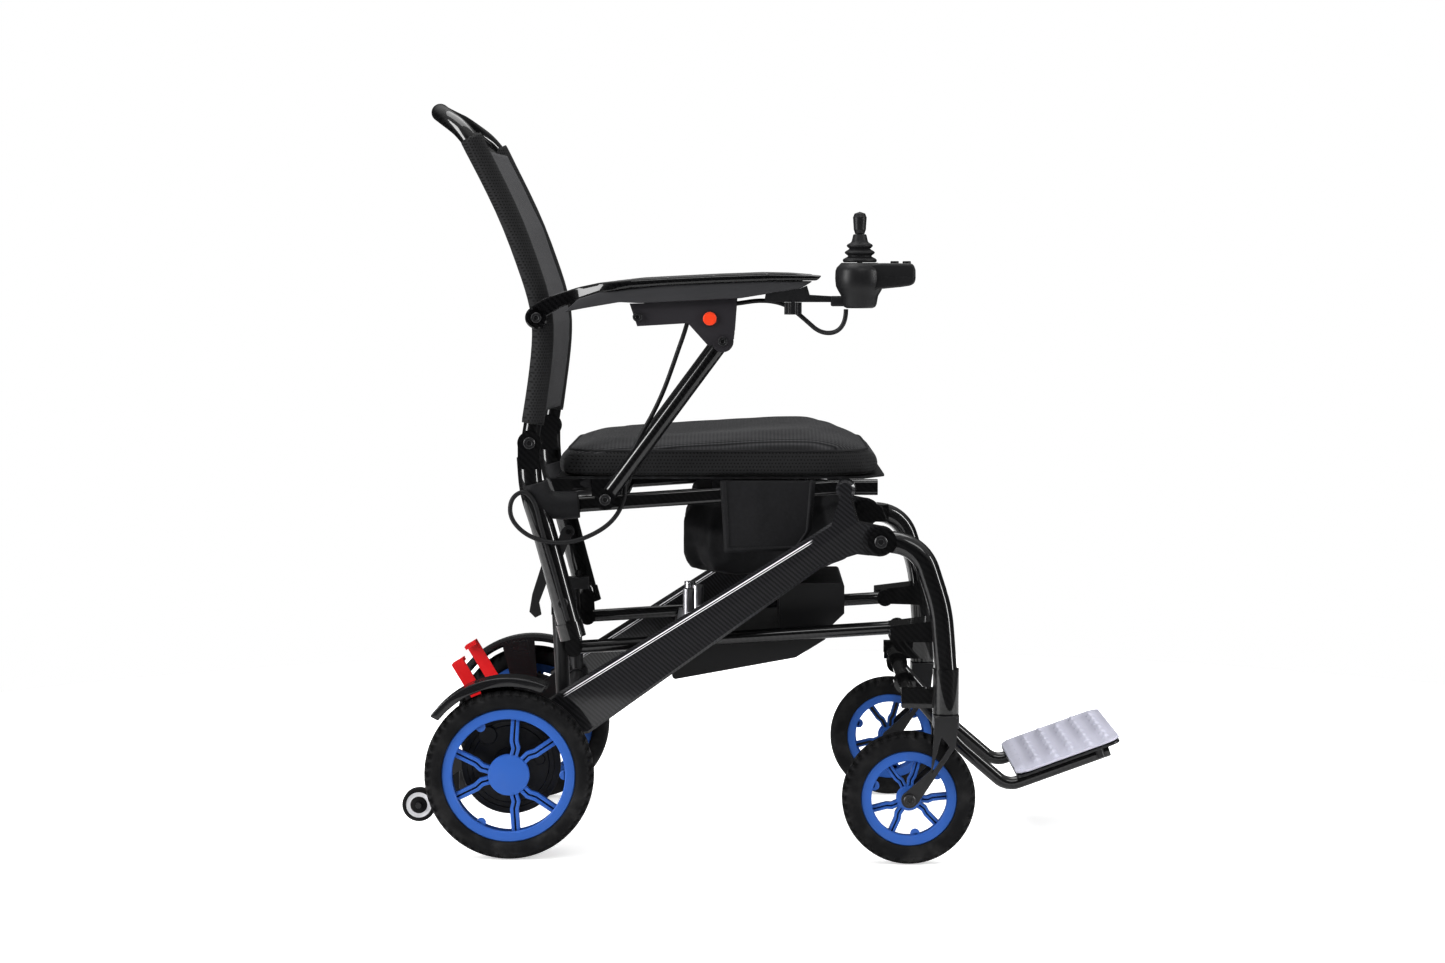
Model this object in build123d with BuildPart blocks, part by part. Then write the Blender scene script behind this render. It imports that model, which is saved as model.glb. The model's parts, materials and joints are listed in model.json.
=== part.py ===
"""Folding power wheelchair, millimetres.  +X forward, +Y to the rider's left, +Z up.

The origin is on the floor, under the middle of the whole chair.  Left-hand pieces are modelled
and the right-hand ones are their mirror images in the plane Y = 0.
"""
from build123d import *
from math import atan2, cos, degrees, radians, sin, tan
import os

os.makedirs("parts", exist_ok=True)

# ---- fits and fastener sizes -------------------------------------------------------------
RUN = 0.08            # radial running clearance of a pin in its eye
GAP = 0.4             # side clearance between moving faces
PIN_R = 5.0           # main hinge pins
HEAD = 3.0            # how far a pin's head stands out of its cheek
ROOT = 4.0            # how far a boss runs into the piece that carries it
SEATED = 0.3          # gap between pieces that rest on each other
THROUGH = 80.0        # depth of a cut that goes right through an eye

# ---- drive wheels ------------------------------------------------------------------------
DRIVE_R, DRIVE_W = 114.3, 44.0
DRIVE_X, DRIVE_Y = -346.6, 241.0
DRIVE_RIM_R, DRIVE_RIM_IN, DRIVE_HUB_R = 90.0, 78.0, 28.0
RIM_W, AXLE_R = 34.0, 6.0
DRIVE_SPOKES, DRIVE_SPOKE_W = 60.0, 9.0        # first pair's angle; a spoke's width
MOTOR_R, MOTOR_IN, MOTOR_OUT = 48.5, 115.0, 206.0

# ---- casters -----------------------------------------------------------------------------
CASTER_R, CASTER_W = 89.0, 36.0
CASTER_X, CASTER_Y = 189.4, 275.0
CASTER_RIM_R, CASTER_RIM_IN, CASTER_HUB_R, CASTER_RIM_W = 64.0, 52.0, 17.0, 26.0
CASTER_SPOKES, CASTER_SPOKE_W = 100.0, 7.0
TRAIL = 49.0
STEM_X = CASTER_X + TRAIL
HOUSING_R, HOUSING_Z0, HOUSING_Z1 = 17.6, 202.0, 262.0
STEM_R = 8.0
FORK_ARM_T = 5.0

# ---- main frame --------------------------------------------------------------------------
BEAM_T = 26.0                                  # beam thickness, across
SEAT_PIVOT = (106.0, 499.0)                    # seat frame on the beam's fin
ARCH_PIVOT = (151.7, 430.0)                    # front arch on the beam
ARCH_PIVOT_Y = 250.0
SPLAY = 6.98                                   # beams spread towards the front, degrees
LINK_FRONT = (178.0, 307.0)                    # lower bar on the front arch
LINK_REAR = (-262.0, 279.0)                    # lower bar at the rear post
BAR_Y, BAR_R = 188.0, 9.0
KNUCKLE_R, EYE_HALF = 12.0, 9.6                 # eyes at the ends of the lower bars
UPRIGHT_Y, UPRIGHT_R = 168.0, 10.0
CROSS_X, CROSS_Z, CROSS_R, CROSS_WALL = 192.0, 221.0, 9.0, 2.0  # front cross tube

# ---- seat --------------------------------------------------------------------------------
RAIL_Y, RAIL_W, RAIL_H, RAIL_TILT = 205.0, 20.0, 21.0, 3.9
POST_Y, POST_R = 223.0, 16.0
CUSHION_HALF = 214.0

# ---- backrest ----------------------------------------------------------------------------
BACK_PIVOT = (-318.0, 560.0)
BACK_Y, BACK_R = 223.0, 12.0
ARM_PIVOT = (-307.0, 728.0)

# ---- armrest and its strut ---------------------------------------------------------------
ARM_Y, ARM_W = 262.0, 52.0
STRUT_TOP = (-59.0, 697.0)
STRUT_FOOT = (-215.6, 486.0)
STRUT_Y, STRUT_R, STRUT_EYE_R = 250.0, 10.5, 14.0
PLATE_Y0, PLATE_T = 263.0, 9.0

# ---- footrest ----------------------------------------------------------------------------
HANGER_Y, HANGER_R = 108.0, 9.0
FOOT_HALF = 140.0

# ---- joystick pod ------------------------------------------------------------------------
POD_Y = -275.0
STICK_X, STICK_Z = 122.0, 790.0                # joystick gimbal centre


def side_plane(y):
    """Vertical plane at y: its local x is forward and its local y is up; it faces -Y."""
    return Plane(origin=(0, y, 0), x_dir=(1, 0, 0), z_dir=(0, -1, 0))


def splay_plane(y_shift=0.0):
    """Plane of the left beam, with local x measured along the beam from the arch pivot."""
    a = radians(SPLAY)
    return Plane(origin=(ARCH_PIVOT[0], ARCH_PIVOT_Y + y_shift, 0),
                 x_dir=(cos(a), sin(a), 0), z_dir=(sin(a), -cos(a), 0))


def along_beam(x, z):
    """A point of the side view as local coordinates on the beam's splayed plane."""
    return ((x - ARCH_PIVOT[0]) / cos(radians(SPLAY)), z)


def beam_y(x):
    """Middle of the left beam's thickness at x."""
    return ARCH_PIVOT_Y + (x - ARCH_PIVOT[0]) * tan(radians(SPLAY))


def soft_radii(points, share=0.45):
    """The largest tangent arc that each corner of a route allows."""
    radii = []
    for a, b, c in zip(points, points[1:], points[2:]):
        u, v = Vector(*b) - Vector(*a), Vector(*c) - Vector(*b)
        turn = radians(u.get_angle(v))
        radii.append(share * min(u.length, v.length) / tan(turn / 2))
    return radii


def tube(points, radius, radii=None):
    """A round bar along straight runs joined by tangent arcs."""
    with BuildPart() as piece:
        with BuildLine() as route:
            if len(points) > 2:
                FilletPolyline(*points, radius=radii or soft_radii(points))
            else:
                Line(*points)
        start = Plane(origin=route.line @ 0, z_dir=route.line % 0)
        with BuildSketch(start):
            Circle(radius)
        sweep(path=route.line)
    return piece.part


def pin_y(x, z, y0, y1, radius):
    """A solid round bar across the chair from y0 to y1."""
    with BuildPart() as bar:
        with BuildSketch(side_plane(y0)):
            with Locations((x, z)):
                Circle(radius)
        extrude(amount=y0 - y1)
    return bar.part


def around_axle(r, angle, aside=0.0):
    """A point of the side view at a radius and angle from the drive axle, and aside from that line."""
    t = radians(angle)
    return (DRIVE_X + r * cos(t) + aside * sin(t), DRIVE_R + r * sin(t) - aside * cos(t))


def save(piece, name):
    """Label one finished piece and write it."""
    piece.part.label = name
    export_step(piece.part, f"parts/{name}.step")


def save_both(left, name):
    """Write a left-hand piece and its mirror image together as one node."""
    with BuildPart() as both:
        add(left.part)
        mirror(about=Plane.XZ)
    save(both, name)


def save_pair(left, name):
    """Write a left-hand piece and its mirror image."""
    save(left, f"{name}_left")
    with BuildPart() as right:
        add(left.part.mirror(Plane.XZ))
    save(right, f"{name}_right")


# =========================================================================================
# Chassis: beams, motor mounts, motors, uprights, fenders, anti-tip arms
# =========================================================================================
BEAM_EDGE = 3.5                                # chamfer along the beam
BEAM_OUTLINE = [(-300, 152.5), (-239, 165), (-59, 296.5), (84, 401), (122, 413), (152, 410),
                (152, 450), (122, 456), (106, 512), (89, 456), (62, 438),
                (-63, 357), (-287, 216), (-318, 196)]
FIN_R = 13.0
TONGUE_R, TONGUE_T, TONGUE_ROOM = 20.0, 18.0, 4.0  # the beam's front end, in the arch's fork
LONG_EDGE = 60.0
with BuildPart() as beam:
    with BuildSketch(splay_plane()) as beam_sketch:
        with BuildLine():
            Polyline(*[along_beam(x, z) for x, z in BEAM_OUTLINE], close=True)
        make_face()
        with Locations(along_beam(*SEAT_PIVOT)):
            Circle(FIN_R)
        with Locations(along_beam(*ARCH_PIVOT)):
            Circle(TONGUE_R)
    extrude(amount=BEAM_T / 2, both=True)
    chamfer(beam.edges().filter_by(lambda e: e.length > LONG_EDGE), BEAM_EDGE)
    fin_in = beam_y(SEAT_PIVOT[0]) - BEAM_T / 2
    add(pin_y(*SEAT_PIVOT, RAIL_Y + RAIL_W / 2 + GAP, fin_in + ROOT, FIN_R))
    add(pin_y(*SEAT_PIVOT, RAIL_Y - RAIL_W / 2 - HEAD, fin_in + ROOT, PIN_R))
    for y in (ARCH_PIVOT_Y - TONGUE_T / 2 - BEAM_T, ARCH_PIVOT_Y + TONGUE_T / 2):
        with BuildSketch(side_plane(y)):
            with Locations(ARCH_PIVOT):
                Circle(TONGUE_R + TONGUE_ROOM)
        extrude(amount=-BEAM_T, mode=Mode.SUBTRACT)
    with BuildSketch(side_plane(ARCH_PIVOT_Y - THROUGH / 2)):
        with Locations(ARCH_PIVOT):
            Circle(PIN_R + RUN)
    extrude(amount=-THROUGH, mode=Mode.SUBTRACT)
save_both(beam, "side_beams")

MOUNT_Y0, MOUNT_T, MOUNT_RING = 160.0, 12.0, 9.0
MOUNT_TOP = 205.0
MOUNT_WEB = [(-350, 170), (-296, 207), (-262, MOUNT_TOP), (-258, 186), (-300, 96)]
MOUNT_BLOCK, MOUNT_BLOCK_SIZE, MOUNT_BLOCK_T = (-285.0, 178.0), (44.0, 30.0), 34.0
REAR_TUBE, REAR_TUBE_R, REAR_TUBE_IN, REAR_SOCKET_R = (-276.0, 190.0), 12.5, 10.0, 15.0
REAR_TUBE_Y = MOUNT_Y0 - 6
with BuildPart() as mount:
    with BuildSketch(side_plane(MOUNT_Y0)):
        with Locations((DRIVE_X, DRIVE_R)):
            Circle(MOTOR_R + MOUNT_RING)
        with BuildLine():
            Polyline(*MOUNT_WEB, close=True)
        make_face()
        with Locations((DRIVE_X, DRIVE_R)):
            Circle(MOTOR_R, mode=Mode.SUBTRACT)
    extrude(amount=-MOUNT_T)
    with BuildSketch(side_plane(MOUNT_Y0)):
        with Locations(MOUNT_BLOCK):
            Rectangle(*MOUNT_BLOCK_SIZE)
    extrude(amount=-MOUNT_BLOCK_T)
    add(pin_y(*REAR_TUBE, REAR_TUBE_Y, MOUNT_Y0 + ROOT, REAR_SOCKET_R))
    add(beam.part, mode=Mode.SUBTRACT)
save_both(mount, "motor_mounts")

with BuildPart() as rear_cross_tube:
    with BuildSketch(side_plane(REAR_TUBE_Y)):
        with Locations(REAR_TUBE):
            Circle(REAR_TUBE_R)
            Circle(REAR_TUBE_IN, mode=Mode.SUBTRACT)
    extrude(amount=2 * REAR_TUBE_Y)
save(rear_cross_tube, "rear_cross_tube")

MOTOR_EDGE, MOTOR_SEAM, SEAM_W, SEAM_DEEP = 3.0, 12.0, 3.0, 2.0
BOSS_IN_R, BOSS_IN, BOSS_OUT_R, BOSS_OUT = 10.0, 12.0, 14.0, 10.0
ANTITIP_LUG, ANTITIP_LUG_SIZE, ANTITIP_LUG_T = (-400.0, 92.0), (44.0, 26.0), 20.0
with BuildPart() as motor:
    with BuildSketch(side_plane(MOTOR_IN)):
        with Locations((DRIVE_X, DRIVE_R)):
            Circle(MOTOR_R)
    extrude(amount=-(MOTOR_OUT - MOTOR_IN))
    for face in (motor.faces().sort_by(Axis.Y)[0], motor.faces().sort_by(Axis.Y)[-1]):
        chamfer(face.edges(), MOTOR_EDGE)
    with BuildSketch(side_plane(MOTOR_IN + MOTOR_SEAM)):
        with Locations((DRIVE_X, DRIVE_R)):
            Circle(MOTOR_R + 1)
            Circle(MOTOR_R - SEAM_DEEP, mode=Mode.SUBTRACT)
    extrude(amount=-SEAM_W, mode=Mode.SUBTRACT)
    add(pin_y(DRIVE_X, DRIVE_R, MOTOR_IN - BOSS_IN, MOTOR_IN + ROOT, BOSS_IN_R))
    add(pin_y(DRIVE_X, DRIVE_R, MOTOR_OUT - ROOT, MOTOR_OUT + BOSS_OUT, BOSS_OUT_R))
    add(pin_y(DRIVE_X, DRIVE_R, MOTOR_OUT, DRIVE_Y + RIM_W / 2 - 2, AXLE_R))
    with BuildSketch(side_plane(MOUNT_Y0 - GAP)):
        with Locations(ANTITIP_LUG):
            Rectangle(*ANTITIP_LUG_SIZE)
    extrude(amount=ANTITIP_LUG_T)
save_both(motor, "gear_motors")

ANTITIP_X, ANTITIP_Z, ANTITIP_R, ANTITIP_W, ANTITIP_ROUND = -477.5, 57.3, 23.0, 20.0, 4.0
ANTITIP_ARM_Y, ANTITIP_ARM_T = MOUNT_Y0 - GAP - ANTITIP_LUG_T, 7.0
ANTITIP_PIN_R, ANTITIP_BOSS_R, ANTITIP_BOSS = 4.0, 8.0, 2.0
ANTITIP_OUTLINE = [(-398, 104), (-398, 80), (-408, 78), (-462, 44), (-486, 49), (-488, 62),
                   (-470, 70), (-420, 104)]
with BuildPart() as antitip_arm:
    with BuildSketch(side_plane(ANTITIP_ARM_Y)):
        with BuildLine():
            Polyline(*ANTITIP_OUTLINE, close=True)
        make_face()
    extrude(amount=ANTITIP_ARM_T)
    add(pin_y(ANTITIP_X, ANTITIP_Z, ANTITIP_ARM_Y - HEAD, ANTITIP_ARM_Y + ANTITIP_W + 2 * HEAD,
              ANTITIP_PIN_R))
    add(pin_y(ANTITIP_X, ANTITIP_Z, ANTITIP_ARM_Y, ANTITIP_ARM_Y + ANTITIP_BOSS, ANTITIP_BOSS_R))
save_both(antitip_arm, "antitip_arms")

with BuildPart() as antitip_wheel:
    with BuildSketch(side_plane(ANTITIP_ARM_Y + ANTITIP_BOSS + GAP)):
        with Locations((ANTITIP_X, ANTITIP_Z)):
            Circle(ANTITIP_R)
            Circle(ANTITIP_PIN_R + RUN, mode=Mode.SUBTRACT)
    extrude(amount=-ANTITIP_W)
    rims = antitip_wheel.edges().filter_by(GeomType.CIRCLE).sort_by(lambda e: e.radius)[-2:]
    fillet(rims, ANTITIP_ROUND)
save_pair(antitip_wheel, "antitip_wheel")

FENDER_IN, FENDER_T, FENDER_W, STAY_T = 127.0, 4.0, 50.0, 5.0
FENDER_FROM, FENDER_TO, FENDER_REACH = 66.0, 142.0, 200.0  # degrees above forward; cutting reach
STAY_HUB_R = 24.0
STAY_OUTLINE = [(-14, 0), (14, 0), (4, 128), (-44, 121)]   # measured from the axle
with BuildPart() as fender:
    with BuildSketch(side_plane(MOTOR_OUT)) as fender_ring:
        with Locations((DRIVE_X, DRIVE_R)):
            Circle(FENDER_IN + FENDER_T)
            Circle(FENDER_IN, mode=Mode.SUBTRACT)
        with BuildLine():
            Polyline((DRIVE_X, DRIVE_R), around_axle(FENDER_REACH, FENDER_FROM),
                     around_axle(FENDER_REACH + FENDER_W, (FENDER_FROM + FENDER_TO) / 2),
                     around_axle(FENDER_REACH, FENDER_TO), close=True)
        make_face(mode=Mode.INTERSECT)
    extrude(amount=-FENDER_W)
    with BuildSketch(side_plane(MOTOR_OUT)):
        with BuildLine():
            Polyline(*[(DRIVE_X + x, DRIVE_R + z) for x, z in STAY_OUTLINE], close=True)
        make_face()
        with Locations((DRIVE_X, DRIVE_R)):
            Circle(STAY_HUB_R)
            Circle(BOSS_OUT_R + RUN, mode=Mode.SUBTRACT)
    extrude(amount=-STAY_T)
save_both(fender, "fenders")

CLUTCH_END, CLUTCH_ANGLE, CLUTCH_HALF, CLUTCH_T = 158.0, 121.0, 9.0, 5.0
CLUTCH_HUB_R, CLUTCH_FLAP = 20.0, 24.0
with BuildPart() as clutch:
    with BuildSketch(side_plane(MOTOR_IN - GAP)):
        with Locations((DRIVE_X, DRIVE_R)):
            Circle(CLUTCH_HUB_R)
        with BuildLine():
            Polyline(*[around_axle(r, CLUTCH_ANGLE, aside * CLUTCH_HALF)
                       for r, aside in ((0, -1), (CLUTCH_END, -1), (CLUTCH_END, 1), (0, 1))],
                     close=True)
        make_face()
        with Locations((DRIVE_X, DRIVE_R)):
            Circle(BOSS_IN_R + RUN, mode=Mode.SUBTRACT)
    extrude(amount=CLUTCH_T)
    tip_x, tip_z = around_axle(CLUTCH_END, CLUTCH_ANGLE)
    outwards = (cos(radians(CLUTCH_ANGLE)), 0, sin(radians(CLUTCH_ANGLE)))
    with BuildSketch(Plane(origin=(tip_x, MOTOR_IN - GAP - CLUTCH_T, tip_z), x_dir=outwards,
                           z_dir=(0, -1, 0))):
        with Locations((-CLUTCH_T / 2, 0)):
            Rectangle(CLUTCH_T, 2 * CLUTCH_HALF)
    extrude(amount=CLUTCH_FLAP)
save_pair(clutch, "clutch_lever")

UPRIGHT_FOOT, UPRIGHT_TOP = (-277.0, 199.0), (-283.0, 330.0)
KEEPER, KEEPER_SIZE, KEEPER_T = (-276.0, 331.0), (34.0, 17.0), 20.0
with BuildPart() as upright:
    add(tube([(x, UPRIGHT_Y, z) for x, z in (UPRIGHT_FOOT, UPRIGHT_TOP)], UPRIGHT_R))
    with BuildSketch(side_plane(UPRIGHT_Y - KEEPER_T / 2)):
        with Locations(KEEPER):
            Rectangle(*KEEPER_SIZE)
    extrude(amount=-KEEPER_T)
    add(mount.part, mode=Mode.SUBTRACT)
    split(bisect_by=Plane.XY.offset(MOUNT_BLOCK[1] + MOUNT_BLOCK_SIZE[1] / 2 - ROOT), keep=Keep.TOP)
save_both(upright, "rear_uprights")


# =========================================================================================
# Wheels
# =========================================================================================
PAIR_IN, PAIR_OUT = 12.0, 23.0      # degrees from a pair's middle line, at the kink and at the rim
KINK = 0.52                         # the kink's radius as a share of the rim's inside
TAB_R = 7.0
SPOKE_FROM, SPOKE_T = 0.45, 0.42    # the spokes' place and thickness as shares of the rim's width
SHOULDER = 0.42                     # the tyre's shoulder radius as a share of its section


def spoked_wheel(x, z, y0, width, rim_r, rim_in, hub_r, bore, first_angle, spoke_w):
    """Wheel disc with three pairs of kinked spokes and three rim tabs between the pairs."""
    with BuildPart() as wheel:
        with BuildSketch(side_plane(y0)):
            with Locations((x, z)):
                Circle(rim_r)
                Circle(rim_in, mode=Mode.SUBTRACT)
        extrude(amount=-width)
        with BuildSketch(side_plane(y0 + width * SPOKE_FROM)):
            with Locations((x, z)):
                Circle(hub_r)
            for pair in range(3):
                for side in (-1, 1):
                    a = first_angle + 120 * pair
                    polar = [(hub_r * 0.6, a), (KINK * rim_in, a + side * PAIR_IN),
                             (rim_in + 2, a + side * PAIR_OUT)]
                    path = [Vector(x + r * cos(radians(t)), z + r * sin(radians(t)))
                            for r, t in polar]
                    for p, q in zip(path, path[1:]):
                        run = q - p
                        heading = degrees(atan2(run.Y, run.X))
                        with Locations(Location((p + q) / 2, (0, 0, heading))):
                            SlotOverall(run.length + spoke_w, spoke_w)
                t = radians(first_angle + 60 + 120 * pair)
                r = rim_in - TAB_R / 2
                with Locations((x + r * cos(t), z + r * sin(t))):
                    Circle(TAB_R)
        extrude(amount=-width * SPOKE_T)
        with BuildSketch(side_plane(y0 + 2)):
            with Locations((x, z)):
                Circle(hub_r * 0.8)
        extrude(amount=-(width - 4))
        with BuildSketch(side_plane(y0 - 5)):
            with Locations((x, z)):
                Circle(bore)
        extrude(amount=-(width + 10), mode=Mode.SUBTRACT)
    return wheel


def tyre(x, z, y, width, outer, inner):
    """Solid rubber tyre with rounded shoulders."""
    with BuildPart() as ring:
        with BuildSketch(Plane(origin=(x, y, z), x_dir=(0, 1, 0), z_dir=(1, 0, 0))) as profile:
            with Locations((0, (outer + inner) / 2)):
                Rectangle(width, outer - inner)
            top = profile.vertices().group_by(Axis.Y)[-1]
            fillet(top, min(width, outer - inner) * SHOULDER)
        revolve(axis=Axis((x, y, z), (0, 1, 0)))
    return ring


with BuildPart() as drive_rim:
    add(spoked_wheel(DRIVE_X, DRIVE_R, DRIVE_Y - RIM_W / 2, RIM_W, DRIVE_RIM_R, DRIVE_RIM_IN,
                     DRIVE_HUB_R, AXLE_R + RUN, DRIVE_SPOKES, DRIVE_SPOKE_W).part)
save_pair(drive_rim, "drive_rim")
drive_tyre = tyre(DRIVE_X, DRIVE_R, DRIVE_Y, DRIVE_W, DRIVE_R, DRIVE_RIM_R)
save_pair(drive_tyre, "drive_tyre")

with BuildPart() as caster_rim:
    add(spoked_wheel(CASTER_X, CASTER_R, CASTER_Y - CASTER_RIM_W / 2, CASTER_RIM_W, CASTER_RIM_R,
                     CASTER_RIM_IN, CASTER_HUB_R, PIN_R + RUN, CASTER_SPOKES,
                     CASTER_SPOKE_W).part)
save_pair(caster_rim, "caster_rim")
caster_tyre = tyre(CASTER_X, CASTER_R, CASTER_Y, CASTER_W, CASTER_R, CASTER_RIM_R)
save_pair(caster_tyre, "caster_tyre")

CROWN_Z0, CROWN_Z1, CROWN_L, CROWN_ROUND = 184.0, 201.0, 34.0, 8.0
STEM_L = 50.0
FORK_IN = CASTER_W / 2 + 2
FORK_LEG = [(STEM_X - 16, CROWN_Z1 - 2), (STEM_X + 16, CROWN_Z1 - 2), (STEM_X + 12, 160),
            (CASTER_X + 10, CASTER_R - 6), (CASTER_X - 8, CASTER_R - 7),
            (CASTER_X - 9, CASTER_R + 6), (STEM_X - 20, 130)]
FORK_WINDOW = [(STEM_X - 7, 174), (STEM_X + 4, 160), (STEM_X - 20, 124)]
FORK_EYE_R = 11.0
with BuildPart() as fork:
    with BuildSketch(Plane.XY.offset(CROWN_Z0)):
        with Locations((STEM_X, CASTER_Y)):
            RectangleRounded(CROWN_L, 2 * (FORK_IN + FORK_ARM_T), CROWN_ROUND)
    extrude(amount=CROWN_Z1 - CROWN_Z0)
    with BuildSketch(Plane.XY.offset(CROWN_Z1)):
        with Locations((STEM_X, CASTER_Y)):
            Circle(STEM_R)
    extrude(amount=STEM_L)
    for y0 in (CASTER_Y - FORK_IN - FORK_ARM_T, CASTER_Y + FORK_IN):
        with BuildSketch(side_plane(y0)):
            with BuildLine():
                Polyline(*FORK_LEG, close=True)
            make_face()
            with Locations((CASTER_X, CASTER_R)):
                Circle(FORK_EYE_R)
            with BuildLine():
                Polyline(*FORK_WINDOW, close=True)
            make_face(mode=Mode.SUBTRACT)
        extrude(amount=-FORK_ARM_T)
    axle_half = FORK_IN + FORK_ARM_T + HEAD
    add(pin_y(CASTER_X, CASTER_R, CASTER_Y - axle_half, CASTER_Y + axle_half, PIN_R))
save_pair(fork, "caster_fork")


# =========================================================================================
# Front frame: arches with caster housings, cross tube
# =========================================================================================
def arch_y(x):
    """The arch leans out from the beam pivot to the caster housing."""
    return ARCH_PIVOT_Y + (x - ARCH_PIVOT[0]) * (CASTER_Y - ARCH_PIVOT_Y) / (STEM_X - ARCH_PIVOT[0])


ARCH_ROUTE = [(152.0, 431.0), (205.0, 424.0), (232.0, 340.0), (238.4, 256.0)]
ARCH_RADII = [52, 210]
ARCH_W, ARCH_H, ARCH_ROUND = 27.0, 29.0, 11.0
CHEEK_T, CHEEK_R, CHEEK_L, CHEEK_H = 4.5, 17.0, 34.0, 25.0
CROSS_LUG_H, CROSS_LUG_W, CROSS_LUG_OVER = 26.0, 20.0, 12.0
LINK_LUG = [(-13, -10), (56, -12), (52, 18), (-13, 10)]     # measured from the front link pivot
LINK_LUG_X = LINK_FRONT[0] + LINK_LUG[2][0]
CROSS_LUG_Y = CASTER_Y - 14
with BuildPart() as arch:
    with BuildLine() as arch_path:
        FilletPolyline(*[(x, arch_y(x), z) for x, z in ARCH_ROUTE], radius=ARCH_RADII)
    lean = atan2(CASTER_Y - ARCH_PIVOT_Y, STEM_X - ARCH_PIVOT[0])
    with BuildSketch(Plane(origin=arch_path.line @ 0, z_dir=arch_path.line % 0,
                           x_dir=(-sin(lean), cos(lean), 0))):
        RectangleRounded(ARCH_W, ARCH_H, ARCH_ROUND)
    sweep(path=arch_path.line)
    with BuildSketch(side_plane(ARCH_PIVOT_Y - THROUGH / 2)):
        with Locations(ARCH_PIVOT):
            Circle(TONGUE_R + 1)
    extrude(amount=-THROUGH, mode=Mode.SUBTRACT)
    for y0 in (ARCH_PIVOT_Y - TONGUE_T / 2 - GAP - CHEEK_T, ARCH_PIVOT_Y + TONGUE_T / 2 + GAP):
        with BuildSketch(side_plane(y0)):
            with Locations(ARCH_PIVOT):
                Circle(CHEEK_R)
            with Locations((ARCH_PIVOT[0] + CHEEK_L / 2, ARCH_PIVOT[1] - 2)):
                Rectangle(CHEEK_L, CHEEK_H)
        extrude(amount=-CHEEK_T)
    pin_half = TONGUE_T / 2 + CHEEK_T + HEAD
    add(pin_y(*ARCH_PIVOT, ARCH_PIVOT_Y - pin_half, ARCH_PIVOT_Y + pin_half, PIN_R))
    with BuildSketch(Plane.XY.offset(HOUSING_Z0)):
        with Locations((STEM_X, CASTER_Y)):
            Circle(HOUSING_R)
    extrude(amount=HOUSING_Z1 - HOUSING_Z0)
    with BuildSketch(Plane.XY.offset(CROSS_Z - CROSS_LUG_H / 2)):
        with Locations(((STEM_X + CROSS_X - CROSS_LUG_OVER) / 2, CROSS_LUG_Y)):
            Rectangle(STEM_X - CROSS_X + CROSS_LUG_OVER, CROSS_LUG_W)
    extrude(amount=CROSS_LUG_H)
    link_lug_y = arch_y(LINK_LUG_X) - ARCH_W / 4
    with BuildSketch(side_plane(link_lug_y)):
        with BuildLine():
            Polyline(*[(LINK_FRONT[0] + x, LINK_FRONT[1] + z) for x, z in LINK_LUG], close=True)
        make_face()
    extrude(amount=link_lug_y - (BAR_Y + EYE_HALF + GAP))
    add(pin_y(*LINK_FRONT, BAR_Y - EYE_HALF - HEAD, BAR_Y + EYE_HALF + ROOT, PIN_R))
    with BuildSketch(Plane.XY.offset(HOUSING_Z0 - 1)):
        with Locations((STEM_X, CASTER_Y)):
            Circle(STEM_R + RUN)
    extrude(amount=STEM_L + 5, mode=Mode.SUBTRACT)
save_both(arch, "front_arches")

LUG_IN = CROSS_LUG_Y - CROSS_LUG_W / 2
with BuildPart() as front_cross_tube:
    with BuildSketch(side_plane(LUG_IN)):
        with Locations((CROSS_X, CROSS_Z)):
            Circle(CROSS_R)
            Circle(CROSS_R - CROSS_WALL, mode=Mode.SUBTRACT)
    extrude(amount=2 * LUG_IN)
save(front_cross_tube, "front_cross_tube")


# =========================================================================================
# Footrest
# =========================================================================================
FOOT_TILT = 20.0
tilt = radians(FOOT_TILT)
HANGER_LOW = (335.0, 76.0)
HANGER_FLAT = 150.0                              # straight run under the plate
HANGER_END = (HANGER_LOW[0] + HANGER_FLAT * cos(tilt), HANGER_LOW[1] + HANGER_FLAT * sin(tilt))
HANGER_ROUTE = [(200.0, 212.0), (270.0, 132.0), HANGER_LOW, HANGER_END]
HANGER_RADII = [120, 28]
COLLAR_W, COLLAR_WALL = 20.0, 6.0
with BuildPart() as hanger:
    add(tube([(x, HANGER_Y, z) for x, z in HANGER_ROUTE], HANGER_R, radii=HANGER_RADII))
    add(pin_y(CROSS_X, CROSS_Z, HANGER_Y - COLLAR_W / 2, HANGER_Y + COLLAR_W / 2,
              CROSS_R + COLLAR_WALL))
    with BuildSketch(side_plane(HANGER_Y - THROUGH / 2)):
        with Locations((CROSS_X, CROSS_Z)):
            Circle(CROSS_R + RUN)
    extrude(amount=-THROUGH, mode=Mode.SUBTRACT)
save_both(hanger, "footrest_hangers")

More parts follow.
